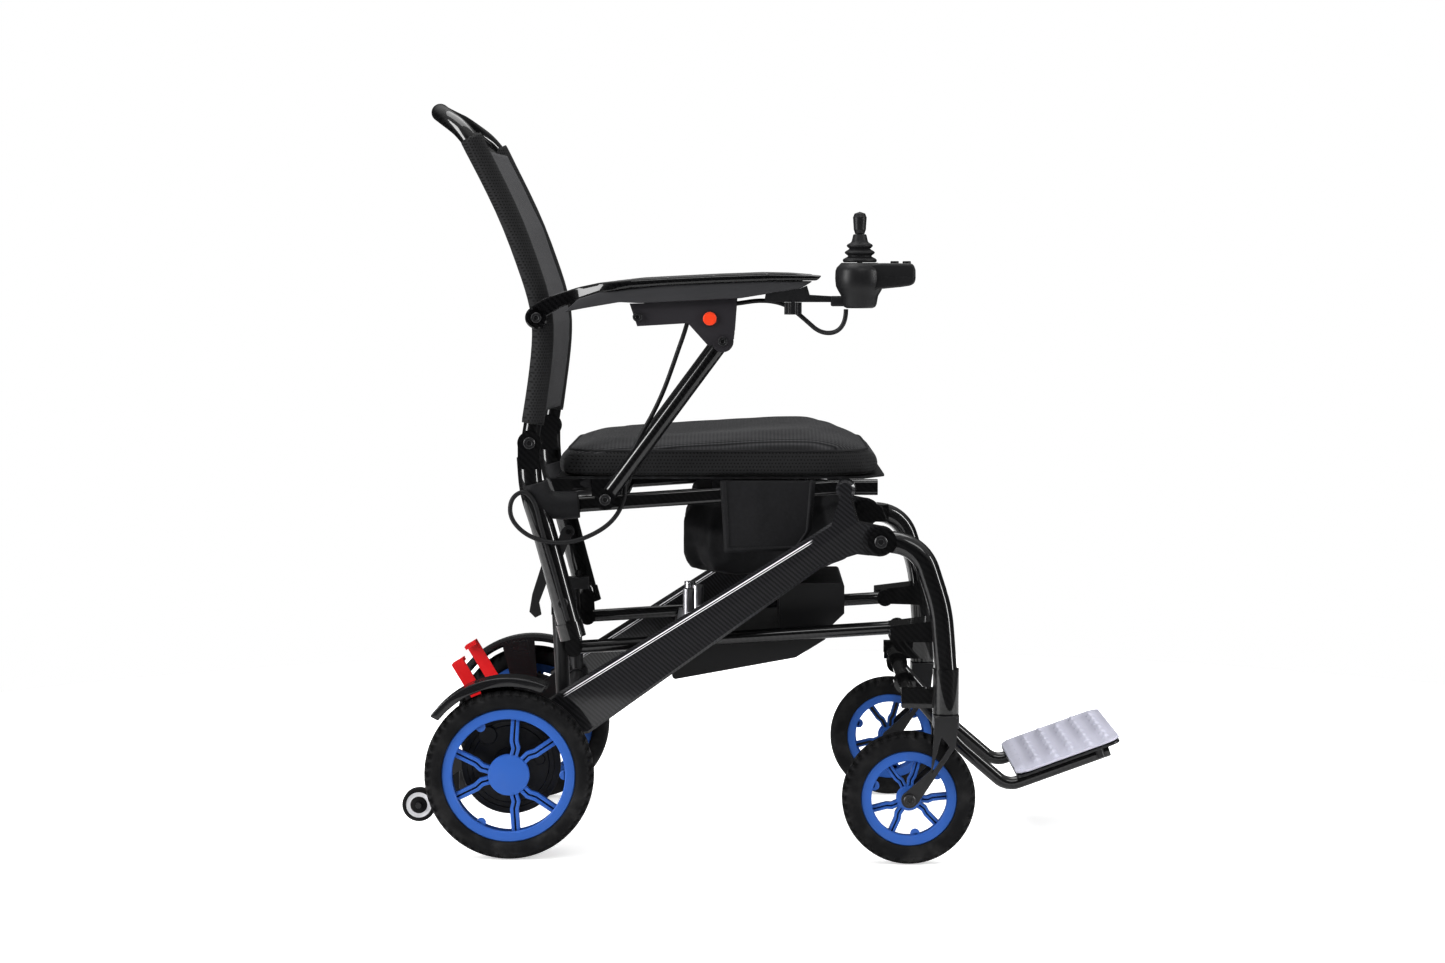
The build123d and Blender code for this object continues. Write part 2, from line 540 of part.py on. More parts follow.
FOOT_START = 352.0
FOOT_LEN, FOOT_CORNER = 150.0, 16.0
FRAME_T, FRAME_CORNER, PEG_AT, PEG_IN, PEG_R, PEG_L = 3.0, 14.0, 118.0, 12.0, 6.0, 12.0
frame_lift = HANGER_R + SEATED
foot_u0 = (FOOT_START - HANGER_LOW[0]) / cos(tilt)
foot_plane = Plane(origin=(HANGER_LOW[0], 0, HANGER_LOW[1]), x_dir=(cos(tilt), 0, sin(tilt)),
                   z_dir=(-sin(tilt), 0, cos(tilt)))
with BuildPart() as foot_frame:
    with BuildSketch(foot_plane.offset(frame_lift)):
        with Locations((foot_u0 + FOOT_LEN / 2 - 1, 0)):
            RectangleRounded(FOOT_LEN, 2 * FOOT_HALF - 2, FRAME_CORNER)
    extrude(amount=FRAME_T)
    with BuildSketch(foot_plane.offset(frame_lift)):
        with Locations(*[(foot_u0 + PEG_AT, side * (FOOT_HALF - PEG_IN)) for side in (-1, 1)]):
            Circle(PEG_R)
    extrude(amount=-PEG_L)
save(foot_frame, "footplate_frame")

PLATE_THICK, RIB_COUNT, RIB_PITCH, RIB_W, RIB_H = 7.0, 6, 24.0, 15.0, 3.0
RIB_MARGIN, RIB_ROUND, RIB_EDGE = 12.0, 5.0, 1.2
with BuildPart() as foot_plate:
    with BuildSketch(foot_plane.offset(frame_lift + FRAME_T)):
        with Locations((foot_u0 + FOOT_LEN / 2, 0)):
            RectangleRounded(FOOT_LEN, 2 * FOOT_HALF, FOOT_CORNER)
    extrude(amount=PLATE_THICK - FRAME_T)
    with BuildSketch(foot_plane.offset(frame_lift + PLATE_THICK)):
        with Locations((foot_u0 + FOOT_LEN / 2, 0)):
            with GridLocations(RIB_PITCH, 1, RIB_COUNT, 1):
                RectangleRounded(RIB_W, 2 * (FOOT_HALF - RIB_MARGIN), RIB_ROUND)
    extrude(amount=RIB_H)
    fillet(foot_plate.faces().sort_by(Axis.Z)[-1].edges(), RIB_EDGE)
save(foot_plate, "footplate")

# =========================================================================================
# Lower link: bars, tray, power module, plugs
# =========================================================================================
with BuildPart() as lower_bar:
    add(tube([(LINK_REAR[0], BAR_Y, LINK_REAR[1]), (LINK_FRONT[0], BAR_Y, LINK_FRONT[1])], BAR_R))
    add(pin_y(*LINK_REAR, BAR_Y - EYE_HALF, BAR_Y + EYE_HALF, KNUCKLE_R))
    add(pin_y(*LINK_FRONT, BAR_Y - EYE_HALF, BAR_Y + EYE_HALF, KNUCKLE_R))
    with BuildSketch(side_plane(BAR_Y - THROUGH / 2)):
        with Locations(LINK_FRONT):
            Circle(PIN_R + RUN)
    extrude(amount=-THROUGH, mode=Mode.SUBTRACT)
save_both(lower_bar, "lower_bars")

link_slope = (LINK_FRONT[1] - LINK_REAR[1]) / (LINK_FRONT[0] - LINK_REAR[0])


def link_z(x):
    """Height of the lower bars' middle line at x."""
    return LINK_REAR[1] + link_slope * (x - LINK_REAR[0])


TRAY_X0, TRAY_X1, TRAY_HALF, TRAY_EDGE = -132.0, 96.0, BAR_Y - BAR_R - SEATED, 5.0
TRAY_TOP = 3.0                                   # below the bars' middle line
TRAY_FLOOR = [(40.0, -34.0), (TRAY_X0 + 4, -54.0)]  # x, and depth below the bars' middle line
with BuildPart() as tray:
    with BuildSketch(side_plane(TRAY_HALF)):
        with BuildLine():
            Polyline((TRAY_X0, link_z(TRAY_X0) - TRAY_TOP), (TRAY_X1, link_z(TRAY_X1) - TRAY_TOP),
                     *[(x, link_z(x) + drop) for x, drop in TRAY_FLOOR], close=True)
        make_face()
    extrude(amount=2 * TRAY_HALF)
    fillet(tray.edges().filter_by(Axis.Y), TRAY_EDGE)
save(tray, "battery_tray")

MODULE_X0, MODULE_X1, MODULE_TOP, MODULE_HALF = 18.0, 108.0, 360.0, 120.0
MODULE_FOOT, MODULE_CHIN, MODULE_EDGE = TRAY_X1 - 8, 318.0, 5.0
on_tray = TRAY_TOP - SEATED
with BuildPart() as module:
    with BuildSketch(side_plane(MODULE_HALF)):
        with BuildLine():
            Polyline((MODULE_X0, link_z(MODULE_X0) - on_tray), (MODULE_FOOT, link_z(MODULE_FOOT) - on_tray),
                     (MODULE_X1, MODULE_CHIN), (MODULE_X1, MODULE_TOP), (MODULE_X0, MODULE_TOP),
                     close=True)
        make_face()
    extrude(amount=2 * MODULE_HALF)
    fillet(module.edges().filter_by(Axis.Y).sort_by(Axis.Z)[-2:], MODULE_EDGE)
save(module, "power_module")

BLOCK_X0, BLOCK_X1, BLOCK_TOP, BLOCK_HALF = -124.0, -70.0, 305.0, 70.0
PLUGS, PLUG_R, PLUG_L = [(-108, -50), (-96, 0), (-108, 50)], 8.0, 44.0
with BuildPart() as plug_block:
    with BuildSketch(side_plane(BLOCK_HALF)):
        with BuildLine():
            Polyline((BLOCK_X0, link_z(BLOCK_X0) - on_tray), (BLOCK_X1, link_z(BLOCK_X1) - on_tray),
                     (BLOCK_X1, BLOCK_TOP), (BLOCK_X0, BLOCK_TOP), close=True)
        make_face()
    extrude(amount=2 * BLOCK_HALF)
    with BuildSketch(Plane.XY.offset(BLOCK_TOP - ROOT)):
        with Locations(*PLUGS):
            Circle(PLUG_R)
    extrude(amount=PLUG_L)
save(plug_block, "harness_plugs")


# =========================================================================================
# Seat frame: rails, rear posts, cross tubes, pan, cushion, bag, flaps
# =========================================================================================
RAIL_X0, RAIL_BEND, RAIL_X1 = -285.0, 89.0, 149.5
rail_slope = tan(radians(RAIL_TILT))


def rail_z(x):
    """Height of the rails' middle line at x: sloping up, then level at the front."""
    return SEAT_PIVOT[1] + min(0.0, (x - RAIL_BEND) * rail_slope)


PAN_Z, PAN_T = 510.0, 3.0
RAIL_EDGE, SADDLE_W, SADDLE_L, SADDLES = 5.0, 14.0, 28.0, (-222.0, -60.0)
STRUT_BOSS_R = 12.0
with BuildPart() as rail:
    with BuildSketch(side_plane(RAIL_Y - RAIL_W / 2)):
        with BuildLine():
            half = RAIL_H / 2
            Polyline((RAIL_X0, rail_z(RAIL_X0) - half), (RAIL_BEND, rail_z(RAIL_BEND) - half),
                     (RAIL_X1, rail_z(RAIL_X1) - half), (RAIL_X1, rail_z(RAIL_X1) + half),
                     (RAIL_BEND, rail_z(RAIL_BEND) + half), (RAIL_X0, rail_z(RAIL_X0) + half), close=True)
        make_face()
    extrude(amount=-RAIL_W)
    fillet(rail.edges().filter_by(lambda e: e.length > LONG_EDGE - 1), RAIL_EDGE)
    for x in SADDLES:
        foot_z = rail_z(x) + ROOT
        with BuildSketch(side_plane(RAIL_Y - SADDLE_W / 2)):
            with Locations((x, (foot_z + PAN_Z) / 2)):
                Rectangle(SADDLE_L, PAN_Z - foot_z)
        extrude(amount=-SADDLE_W)
    add(pin_y(*STRUT_FOOT, RAIL_Y + ROOT, STRUT_Y - STRUT_R - GAP, STRUT_BOSS_R))
    add(pin_y(*STRUT_FOOT, RAIL_Y + ROOT, STRUT_Y + STRUT_R + HEAD, PIN_R))
    with BuildSketch(side_plane(RAIL_Y - THROUGH / 2)):
        with Locations(SEAT_PIVOT):
            Circle(PIN_R + RUN)
    extrude(amount=-THROUGH, mode=Mode.SUBTRACT)
save_both(rail, "seat_rails")

CROSS_TUBES, CROSS_TUBE_R = (-200.0, 50.0), 8.5
with BuildPart() as seat_cross_tubes:
    for x in CROSS_TUBES:
        with BuildSketch(side_plane(RAIL_Y - RAIL_W / 2)):
            with Locations((x, rail_z(x))):
                Circle(CROSS_TUBE_R)
        extrude(amount=2 * RAIL_Y - RAIL_W)
save(seat_cross_tubes, "seat_cross_tubes")

POST_ROUTE = [(-320.0, 541.0), (-317.0, 495.0), (-299.0, 440.0), (-262.0, 300.0)]
EYE_W = 18.0
CHEEK_IN = EYE_W / 2 + GAP
LATCH_PIN = (-274.0, 345.0)
LEVER_PIN = (-290.0, 405.0)
LEVER_PIN_R = 4.0
LEVER_Y0, LEVER_T, LEVER_EYE_R = 184.0, 8.0, 9.0
COLLAR_RUN, COLLAR_OVER = 18.0, 4.0             # the collar at the foot of the post
LUG_UP, LUG_IN_Y, LUG_R = 312.0, BAR_Y + EYE_HALF + 2 * GAP, 10.0
FOOT_LUG_W, ELBOW_W = 14.0, 24.0
ELBOW = [(0, -9), (0, 9), (-32, 9), (-26, -9)]  # from the rail's rear end
FOOT_LUG = [(-10, 0), (10, 0), (8, LUG_UP - LINK_REAR[1]), (-14, LUG_UP - LINK_REAR[1])]
with BuildPart() as post:
    add(tube([(x, POST_Y, z) for x, z in POST_ROUTE], POST_R))
    above_foot, foot = [Vector(x, POST_Y, z) for x, z in POST_ROUTE[2:]]
    foot_dir = (foot - above_foot).normalized()
    with BuildSketch(Plane(origin=foot - foot_dir * COLLAR_RUN, z_dir=foot_dir)):
        Circle(POST_R + COLLAR_OVER / 2)
    extrude(amount=COLLAR_RUN + COLLAR_OVER)
    for y0 in (POST_Y - POST_R, POST_Y + CHEEK_IN):
        with BuildSketch(side_plane(y0)):
            with Locations(BACK_PIVOT):
                Circle(POST_R)
            with Locations((BACK_PIVOT[0] - 1, BACK_PIVOT[1] - POST_R - 2)):
                Rectangle(2 * POST_R - HEAD, 2 * POST_R + 2)
        extrude(amount=-(POST_R - CHEEK_IN))
    with BuildSketch(side_plane(POST_Y - CHEEK_IN)):
        with Locations(BACK_PIVOT):
            Circle(POST_R + 2)
    extrude(amount=-2 * CHEEK_IN, mode=Mode.SUBTRACT)
    add(pin_y(*BACK_PIVOT, POST_Y - POST_R, POST_Y + POST_R, PIN_R))
    with BuildSketch(side_plane(RAIL_Y - RAIL_W / 2 + 2)):
        with BuildLine():
            Polyline(*[(RAIL_X0 + x, rail_z(RAIL_X0) + z) for x, z in ELBOW], close=True)
        make_face()
    extrude(amount=-ELBOW_W)
    add(pin_y(*LATCH_PIN, UPRIGHT_Y - UPRIGHT_R, POST_Y, PIN_R))
    add(pin_y(*LEVER_PIN, LEVER_Y0 - 2, POST_Y, LEVER_PIN_R))
    with BuildSketch(side_plane(LUG_IN_Y)):
        with BuildLine():
            Polyline(*[(LINK_REAR[0] + x, LINK_REAR[1] + z) for x, z in FOOT_LUG], close=True)
        make_face()
        with Locations(LINK_REAR):
            Circle(LUG_R)
    extrude(amount=-FOOT_LUG_W)
save_both(post, "rear_posts")

LEVER_OUTLINE = [(-282, 404), (-291, 414), (-300, 408), (-309, 380), (-318, 352), (-322, 328),
                 (-314, 320), (-306, 324), (-309, 340), (-299, 366), (-292, 384)]
with BuildPart() as latch_lever:
    with BuildSketch(side_plane(LEVER_Y0)):
        with BuildLine():
            Polyline(*LEVER_OUTLINE, close=True)
        make_face()
        with Locations(LEVER_PIN):
            Circle(LEVER_EYE_R)
            Circle(LEVER_PIN_R + RUN, mode=Mode.SUBTRACT)
    extrude(amount=-LEVER_T)
save_pair(latch_lever, "latch_lever")

PAN_HALF = [(-283, RAIL_Y), (130, RAIL_Y), (161, 150)]
with BuildPart() as seat_pan:
    with BuildSketch(Plane.XY.offset(PAN_Z)):
        with BuildLine():
            Polyline(*PAN_HALF, *[(x, -y) for x, y in reversed(PAN_HALF)], close=True)
        make_face()
    extrude(amount=PAN_T)
save(seat_pan, "seat_pan")

CUSHION_Z0, CUSHION_EDGE = PAN_Z + PAN_T + SEATED, 6.0
CUSHION_SIDE = [(-282, CUSHION_Z0), (-284, 541), (-270, 553), (-121, 565), (18, 575), (83, 572),
                (138, 554), (155, 534), (150, 521), (140, CUSHION_Z0)]
with BuildPart() as cushion:
    with BuildSketch(side_plane(CUSHION_HALF)):
        with BuildLine():
            Polyline(*CUSHION_SIDE, close=True)
        make_face()
    extrude(amount=2 * CUSHION_HALF)
    ends = cushion.faces().sort_by(Axis.Y)
    fillet(ends[0].edges() + ends[-1].edges(), CUSHION_EDGE)
save(cushion, "seat_cushion")

BAG_X0, BAG_X1, BAG_HALF, BAG_Z0, BAG_ROUND = -114.0, 122.0, 165.0, 368.0, 24.0
with BuildPart() as bag:
    with BuildSketch(Plane.XY.offset(BAG_Z0)):
        with Locations(((BAG_X0 + BAG_X1) / 2, 0)):
            RectangleRounded(BAG_X1 - BAG_X0, 2 * BAG_HALF, BAG_ROUND)
    extrude(amount=rail_z(CROSS_TUBES[1]) - CROSS_TUBE_R - SEATED - BAG_Z0)
save(bag, "under_seat_bag")

FLAP_T = 2.5
FLAP_OUTLINE = [(-63, 508), (66, 509), (60, 440), (40, 414), (-57, 410)]
with BuildPart() as flap:
    with BuildSketch(side_plane(RAIL_Y + RAIL_W / 2 + SEATED)):
        with BuildLine():
            Polyline(*FLAP_OUTLINE, close=True)
        make_face()
    extrude(amount=-FLAP_T)
save_both(flap, "bag_flaps")


# =========================================================================================
# Backrest
# =========================================================================================
HOOP_SIDE = [(-318.0, 562.0), (-293.0, 716.0), (-337.0, 852.0), (-398.0, 972.0)]
HOOP_CROWN = [(-440.0, 186.0, 1003.0), (-448.0, 70.0, 1006.0)]
ARM_PIN_L = 16.0                                # how far the arm's pin runs into the armrest
with BuildPart() as hoop:
    half_hoop = [(x, BACK_Y, z) for x, z in HOOP_SIDE] + HOOP_CROWN
    hoop_points = half_hoop + [(x, -y, z) for x, y, z in reversed(half_hoop)]
    add(tube(hoop_points, BACK_R, radii=soft_radii(hoop_points, 0.47)))
    for side in (1, -1):
        for y in (side * BACK_Y - EYE_W / 2 - BACK_R, side * BACK_Y + EYE_W / 2):
            with BuildSketch(side_plane(y)):
                with Locations(BACK_PIVOT):
                    Circle(POST_R + 1)
            extrude(amount=-BACK_R, mode=Mode.SUBTRACT)
        add(pin_y(*BACK_PIVOT, side * BACK_Y - EYE_W / 2, side * BACK_Y + EYE_W / 2, POST_R - 0.5))
        y0, y1 = sorted((side * BACK_Y, side * (ARM_Y - ARM_W / 2 + ARM_PIN_L)))
        add(pin_y(*ARM_PIVOT, y0, y1, PIN_R))
    with BuildSketch(side_plane(-BACK_Y - THROUGH)):
        with Locations(BACK_PIVOT):
            Circle(PIN_R + RUN)
    extrude(amount=-2 * (BACK_Y + THROUGH), mode=Mode.SUBTRACT)
save(hoop, "back_hoop")

SLING_T, SLING_HALF = 3.0, BACK_Y - BACK_R - GAP
SLING_SIDE = [(-307, 598), (-294, 690), (-294, 726), (-306, 765), (-335, 855), (-384, 954)]
with BuildPart() as sling:
    with BuildSketch(side_plane(SLING_HALF)):
        with BuildLine():
            Polyline(*SLING_SIDE, *[(x - SLING_T, z) for x, z in reversed(SLING_SIDE)], close=True)
        make_face()
    extrude(amount=2 * SLING_HALF)
save(sling, "back_sling")

# =========================================================================================
# Armrests, bracket plates, release buttons, struts
# =========================================================================================
ARM_TOP = [(-318.0, 738.0), (-275.0, 761.0), (-222.0, 774.5), (-131.0, 782.0), (0.0, 787.5),
           (72.0, 784.0)]
ARM_UNDER = [(-300.0, 714.0), (-275.0, 728.0), (-242.0, 740.0), (-195.0, 749.0), (-169.0, 747.5),
             (-36.0, 754.0), (44.0, 767.0), (62.0, 775.0)]
ARM_EYE_R = 15.0
NECK_Y = ARM_Y - 9.0                            # the arm narrows to this at the back
NECK = [(-340.0, NECK_Y), (-262.0, NECK_Y), (-205.0, ARM_Y + ARM_W), (-340.0, ARM_Y + ARM_W)]
with BuildPart() as arm:
    with BuildSketch(side_plane(ARM_Y - ARM_W / 2)):
        with BuildLine():
            Spline(*ARM_TOP)
            Polyline(ARM_TOP[-1], *reversed(ARM_UNDER), ARM_TOP[0])
        make_face()
        with Locations(ARM_PIVOT):
            Circle(ARM_EYE_R)
    extrude(amount=-ARM_W)
    with BuildSketch(Plane.XY.offset(ARM_PIVOT[1] - THROUGH)):
        with BuildLine():
            Polyline(*NECK, close=True)
        make_face()
    extrude(amount=2 * THROUGH, mode=Mode.SUBTRACT)
    with BuildSketch(side_plane(ARM_Y - THROUGH / 2)):
        with Locations(ARM_PIVOT):
            Circle(PIN_R + RUN)
    extrude(amount=-THROUGH, mode=Mode.SUBTRACT)
save_pair(arm, "armrest")

BUTTON_AT = (-76.0, 727.0)
BUTTON_R, BUTTON_PROUD, BUTTON_EDGE = 9.0, 4.0, 1.5
BOLTS, BOLT_R = (STRUT_TOP, (-171.5, 729.5)), 6.5
PLATE_EYE_R = 14.5
PLATE_OUTLINE = [(-182.0, 747.0), (-169.0, 747.2), (-40.0, 753.5), (-44.0, 700.0), (-78.0, 691.0),
                 (-105.0, 721.0), (-172.0, 717.0)]
with BuildPart() as arm_plate:
    with BuildSketch(side_plane(PLATE_Y0)):
        with BuildLine():
            Polyline(*PLATE_OUTLINE, close=True)
        make_face()
        with Locations(STRUT_TOP):
            Circle(PLATE_EYE_R)
        with Locations(BUTTON_AT):
            Circle(BUTTON_R + SEATED, mode=Mode.SUBTRACT)
    extrude(amount=-PLATE_T)
    for x, z in BOLTS:
        add(pin_y(x, z, PLATE_Y0 + PLATE_T - 1, PLATE_Y0 + PLATE_T + HEAD, BOLT_R))
save_pair(arm_plate, "arm_bracket")

with BuildPart() as arm_button:
    with BuildSketch(side_plane(PLATE_Y0 + PLATE_T / 3)):
        with Locations(BUTTON_AT):
            Circle(BUTTON_R)
    extrude(amount=-(PLATE_T * 2 / 3 + BUTTON_PROUD))
    fillet(arm_button.edges().filter_by(GeomType.CIRCLE).sort_by(Axis.Y)[-1], BUTTON_EDGE)
save_pair(arm_button, "release_button")

with BuildPart() as strut:
    add(tube([(STRUT_FOOT[0], STRUT_Y, STRUT_FOOT[1]), (STRUT_TOP[0], STRUT_Y, STRUT_TOP[1])], STRUT_R))
    for x, z in (STRUT_FOOT, STRUT_TOP):
        add(pin_y(x, z, STRUT_Y - STRUT_R, STRUT_Y + STRUT_R, STRUT_EYE_R))
    with BuildSketch(side_plane(STRUT_Y - THROUGH / 2)):
        with Locations(STRUT_FOOT):
            Circle(PIN_R + RUN)
    extrude(amount=-THROUGH, mode=Mode.SUBTRACT)
save_pair(strut, "arm_strut")


# =========================================================================================
# Joystick pod (rider's right only)
# =========================================================================================
POD_X0, POD_X1, POD_HALF, POD_TOP = 88.0, 194.0, 29.0, 801.0
POD_WELL_R = 17.0
GIMBAL_R, GIMBAL_BORE, GIMBAL_T, SHAFT_R, TINY_PIN = 13.0, 9.0, 7.0, 3.5, 1.6
POD_KEYS = (168.0, 184.0)
KEY_R, KEY_Z, KEY_H, KEY_EDGE, KEY_WELL_Z = 5.5, 796.0, 7.0, 1.2, 794.0
POD_SIDE = [(POD_X0, 752), (96, 740), (140, 740), (150, 766), (POD_X1 - 2, 769), (POD_X1, 772),
            (POD_X1, 796), (POD_X1 - 6, 800), (150, POD_TOP), (POD_X0 + 4, POD_TOP), (POD_X0, 794)]
POD_EDGE, WELL_FLOOR = 2.0, STICK_Z - 10
SOCKET_R, SOCKET_DEEP = 8.0, 12.0
SOCKET_Z = 785.0
with BuildPart() as pod:
    with BuildSketch(side_plane(POD_Y + POD_HALF)):
        with BuildLine():
            Polyline(*POD_SIDE, close=True)
        make_face()
    extrude(amount=2 * POD_HALF)
    fillet(pod.edges().filter_by(Axis.Y), POD_EDGE)
    with BuildSketch(Plane.XY.offset(WELL_FLOOR)):
        with Locations((STICK_X, POD_Y)):
            Circle(POD_WELL_R)
    extrude(amount=THROUGH, mode=Mode.SUBTRACT)
    for x in POD_KEYS:
        with BuildSketch(Plane.XY.offset(KEY_WELL_Z)):
            with Locations((x, POD_Y)):
                Circle(KEY_R + SEATED)
        extrude(amount=THROUGH, mode=Mode.SUBTRACT)
    with BuildSketch(Plane(origin=(POD_X1 - SOCKET_DEEP, POD_Y, SOCKET_Z), z_dir=(1, 0, 0))):
        Circle(SOCKET_R)
    extrude(amount=SOCKET_DEEP + 5, mode=Mode.SUBTRACT)
    for side in (-1, 1):
        pin_from = (STICK_X + side * (GIMBAL_BORE + 1), POD_Y, STICK_Z)
        with BuildSketch(Plane(origin=pin_from, z_dir=(side, 0, 0))):
            Circle(TINY_PIN)
        extrude(amount=POD_WELL_R - GIMBAL_BORE)
save(pod, "joystick_pod")

with BuildPart() as gimbal:
    with BuildSketch(Plane.XY.offset(STICK_Z - GIMBAL_T / 2)):
        with Locations((STICK_X, POD_Y)):
            Circle(GIMBAL_R)
            Circle(GIMBAL_BORE, mode=Mode.SUBTRACT)
    extrude(amount=GIMBAL_T)
    for direction in ((1, 0, 0), (0, 1, 0)):
        start = Vector(STICK_X, POD_Y, STICK_Z) - Vector(*direction) * THROUGH / 2
        with BuildSketch(Plane(origin=start, z_dir=direction)):
            Circle(TINY_PIN + RUN)
        extrude(amount=THROUGH, mode=Mode.SUBTRACT)
save(gimbal, "joystick_gimbal")

KNOB_Z0, KNOB_R = 838.5, 9.0
KNOB_HALF = [(0, 0), (6, 0), (KNOB_R - 1, 6), (KNOB_R, 22), (7, 27), (0, 29.5)]
SHAFT_Z0 = STICK_Z - 6
with BuildPart() as stick:
    with BuildSketch(Plane.XY.offset(SHAFT_Z0)):
        with Locations((STICK_X, POD_Y)):
            Circle(SHAFT_R)
    extrude(amount=KNOB_Z0 + 2 - SHAFT_Z0)
    with BuildSketch(Plane(origin=(STICK_X, POD_Y, KNOB_Z0), x_dir=(1, 0, 0), z_dir=(0, -1, 0))):
        with BuildLine():
            Polyline(*KNOB_HALF, close=True)
        make_face()
    revolve(axis=Axis((STICK_X, POD_Y, 0), (0, 0, 1)))
    with BuildSketch(Plane(origin=(STICK_X, POD_Y - GIMBAL_R + 0.5, STICK_Z), z_dir=(0, 1, 0))):
        Circle(TINY_PIN)
    extrude(amount=2 * GIMBAL_R - 1)
save(stick, "joystick")

BOOT_FOLDS = [(9, 0), (20, 0), (23, 4), (22.5, 7), (16, 10), (20.5, 15), (15, 20), (18, 24),
              (12, 28), (9, 37), (6, 37), (6, 24)]
with BuildPart() as boot:
    with BuildSketch(Plane(origin=(STICK_X, POD_Y, POD_TOP + SEATED), x_dir=(1, 0, 0),
                           z_dir=(0, -1, 0))):
        with BuildLine():
            Polyline(*BOOT_FOLDS, close=True)
        make_face()
    revolve(axis=Axis((STICK_X, POD_Y, 0), (0, 0, 1)))
save(boot, "joystick_boot")

for index, x in enumerate(POD_KEYS):
    with BuildPart() as key:
        with BuildSketch(Plane.XY.offset(KEY_Z)):
            with Locations((x, POD_Y)):
                Circle(KEY_R)
        extrude(amount=KEY_H)
        fillet(key.edges().filter_by(GeomType.CIRCLE).sort_by(Axis.Z)[-1], KEY_EDGE)
    save(key, f"pod_key_{index + 1}")

BAR_X0, BAR_Z0, BAR_W = -4.0, 749.0, 14.0
CLAMP_X, CLAMP_Y, SCREW_R, SCREW_L = 34.0, POD_Y + 1, 2.5, 12.0
BAR_SIDE = [(BAR_X0, BAR_Z0), (POD_X0 + 1.5, BAR_Z0), (POD_X0 + 1.5, 756.5), (56, 758.5),
            (52, 772), (BAR_X0 + 4, 772)]
with BuildPart() as pod_bar:
    with BuildSketch(side_plane(CLAMP_Y + BAR_W / 2)):
        with BuildLine():
            Polyline(*BAR_SIDE, close=True)
        make_face()
    extrude(amount=BAR_W)
    with BuildSketch(Plane.XY.offset(BAR_Z0 - HEAD)):
        with Locations((CLAMP_X, CLAMP_Y)):
            Circle(SCREW_R + RUN)
    extrude(amount=SCREW_L, mode=Mode.SUBTRACT)
    add(arm.part.mirror(Plane.XZ), mode=Mode.SUBTRACT)
    add(pod.part, mode=Mode.SUBTRACT)
save(pod_bar, "pod_bar")

KNURL_R, KNURL_H, LOBES, LOBE_R = 9.0, 16.0, 6, 2.5
with BuildPart() as clamp_knob:
    with BuildSketch(Plane.XY.offset(BAR_Z0 - GAP - KNURL_H)):
        with Locations((CLAMP_X, CLAMP_Y)):
            Circle(KNURL_R)
            with PolarLocations(KNURL_R, LOBES):
                Circle(LOBE_R)
    extrude(amount=KNURL_H)
    with BuildSketch(Plane.XY.offset(BAR_Z0 - GAP - ROOT)):
        with Locations((CLAMP_X, CLAMP_Y)):
            Circle(SCREW_R)
    extrude(amount=SCREW_L)
save(clamp_knob, "clamp_knob")


# =========================================================================================
# Joystick cable, along the right armrest, strut and rear post
# =========================================================================================
CABLE_R = 3.0
CABLE_ARM = [(104, -275, 739.6), (104, -275, 724), (92, -268, 708), (70, -258, 708), (50, -250, 726),
             (26, -247, 746), (-6, -246, 752), (-44, -246, 746), (-82, -246, 743), (-104, -247, 728)]
CABLE_STRUT = [(-105.5, -246.5, 723.5), (-110, -244, 708), (-118, -240, 686), (-127, -236.3, 660),
               (-138, -235, 630), (-152, -234.8, 600), (-168, -234.6, 572), (-182, -235, 544),
               (-190, -235.5, 516), (-190, -241.8, 490.9)]
CABLE_LOOP = [(-190, -242, 490), (-194, -244.5, 474), (-210, -245.5, 452), (-236, -246, 436),
              (-264, -246, 427), (-294, -246, 427), (-324, -246, 438), (-344, -245, 460),
              (-343, -244, 486), (-325, -243.5, 498), (-310, -244, 482), (-303, -244, 450),
              (-294.5, -243, 420), (-284.5, -242.5, 386), (-275, -243.5, 350), (-266.5, -245, 322)]
for cable_name, cable_points in (("cable_arm", CABLE_ARM), ("cable_strut", CABLE_STRUT),
                                 ("cable_loop", CABLE_LOOP)):
    with BuildPart() as cable:
        add(tube(cable_points, CABLE_R))
    save(cable, cable_name)
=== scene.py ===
"""Looks for the folding power wheelchair: soft goods, wheels, finishes, studio and camera.

Lengths in the dataclasses are millimetres, in the chair's own frame: +X forward, +Y to the
rider's left and +Z up, from the floor.  They become metres when a mesh is made.
"""
import json
import logging
import math
from dataclasses import dataclass, field
from enum import Enum
from typing import Callable, Iterable, Sequence

import bmesh
import bpy
from mathutils import Matrix, Vector, noise

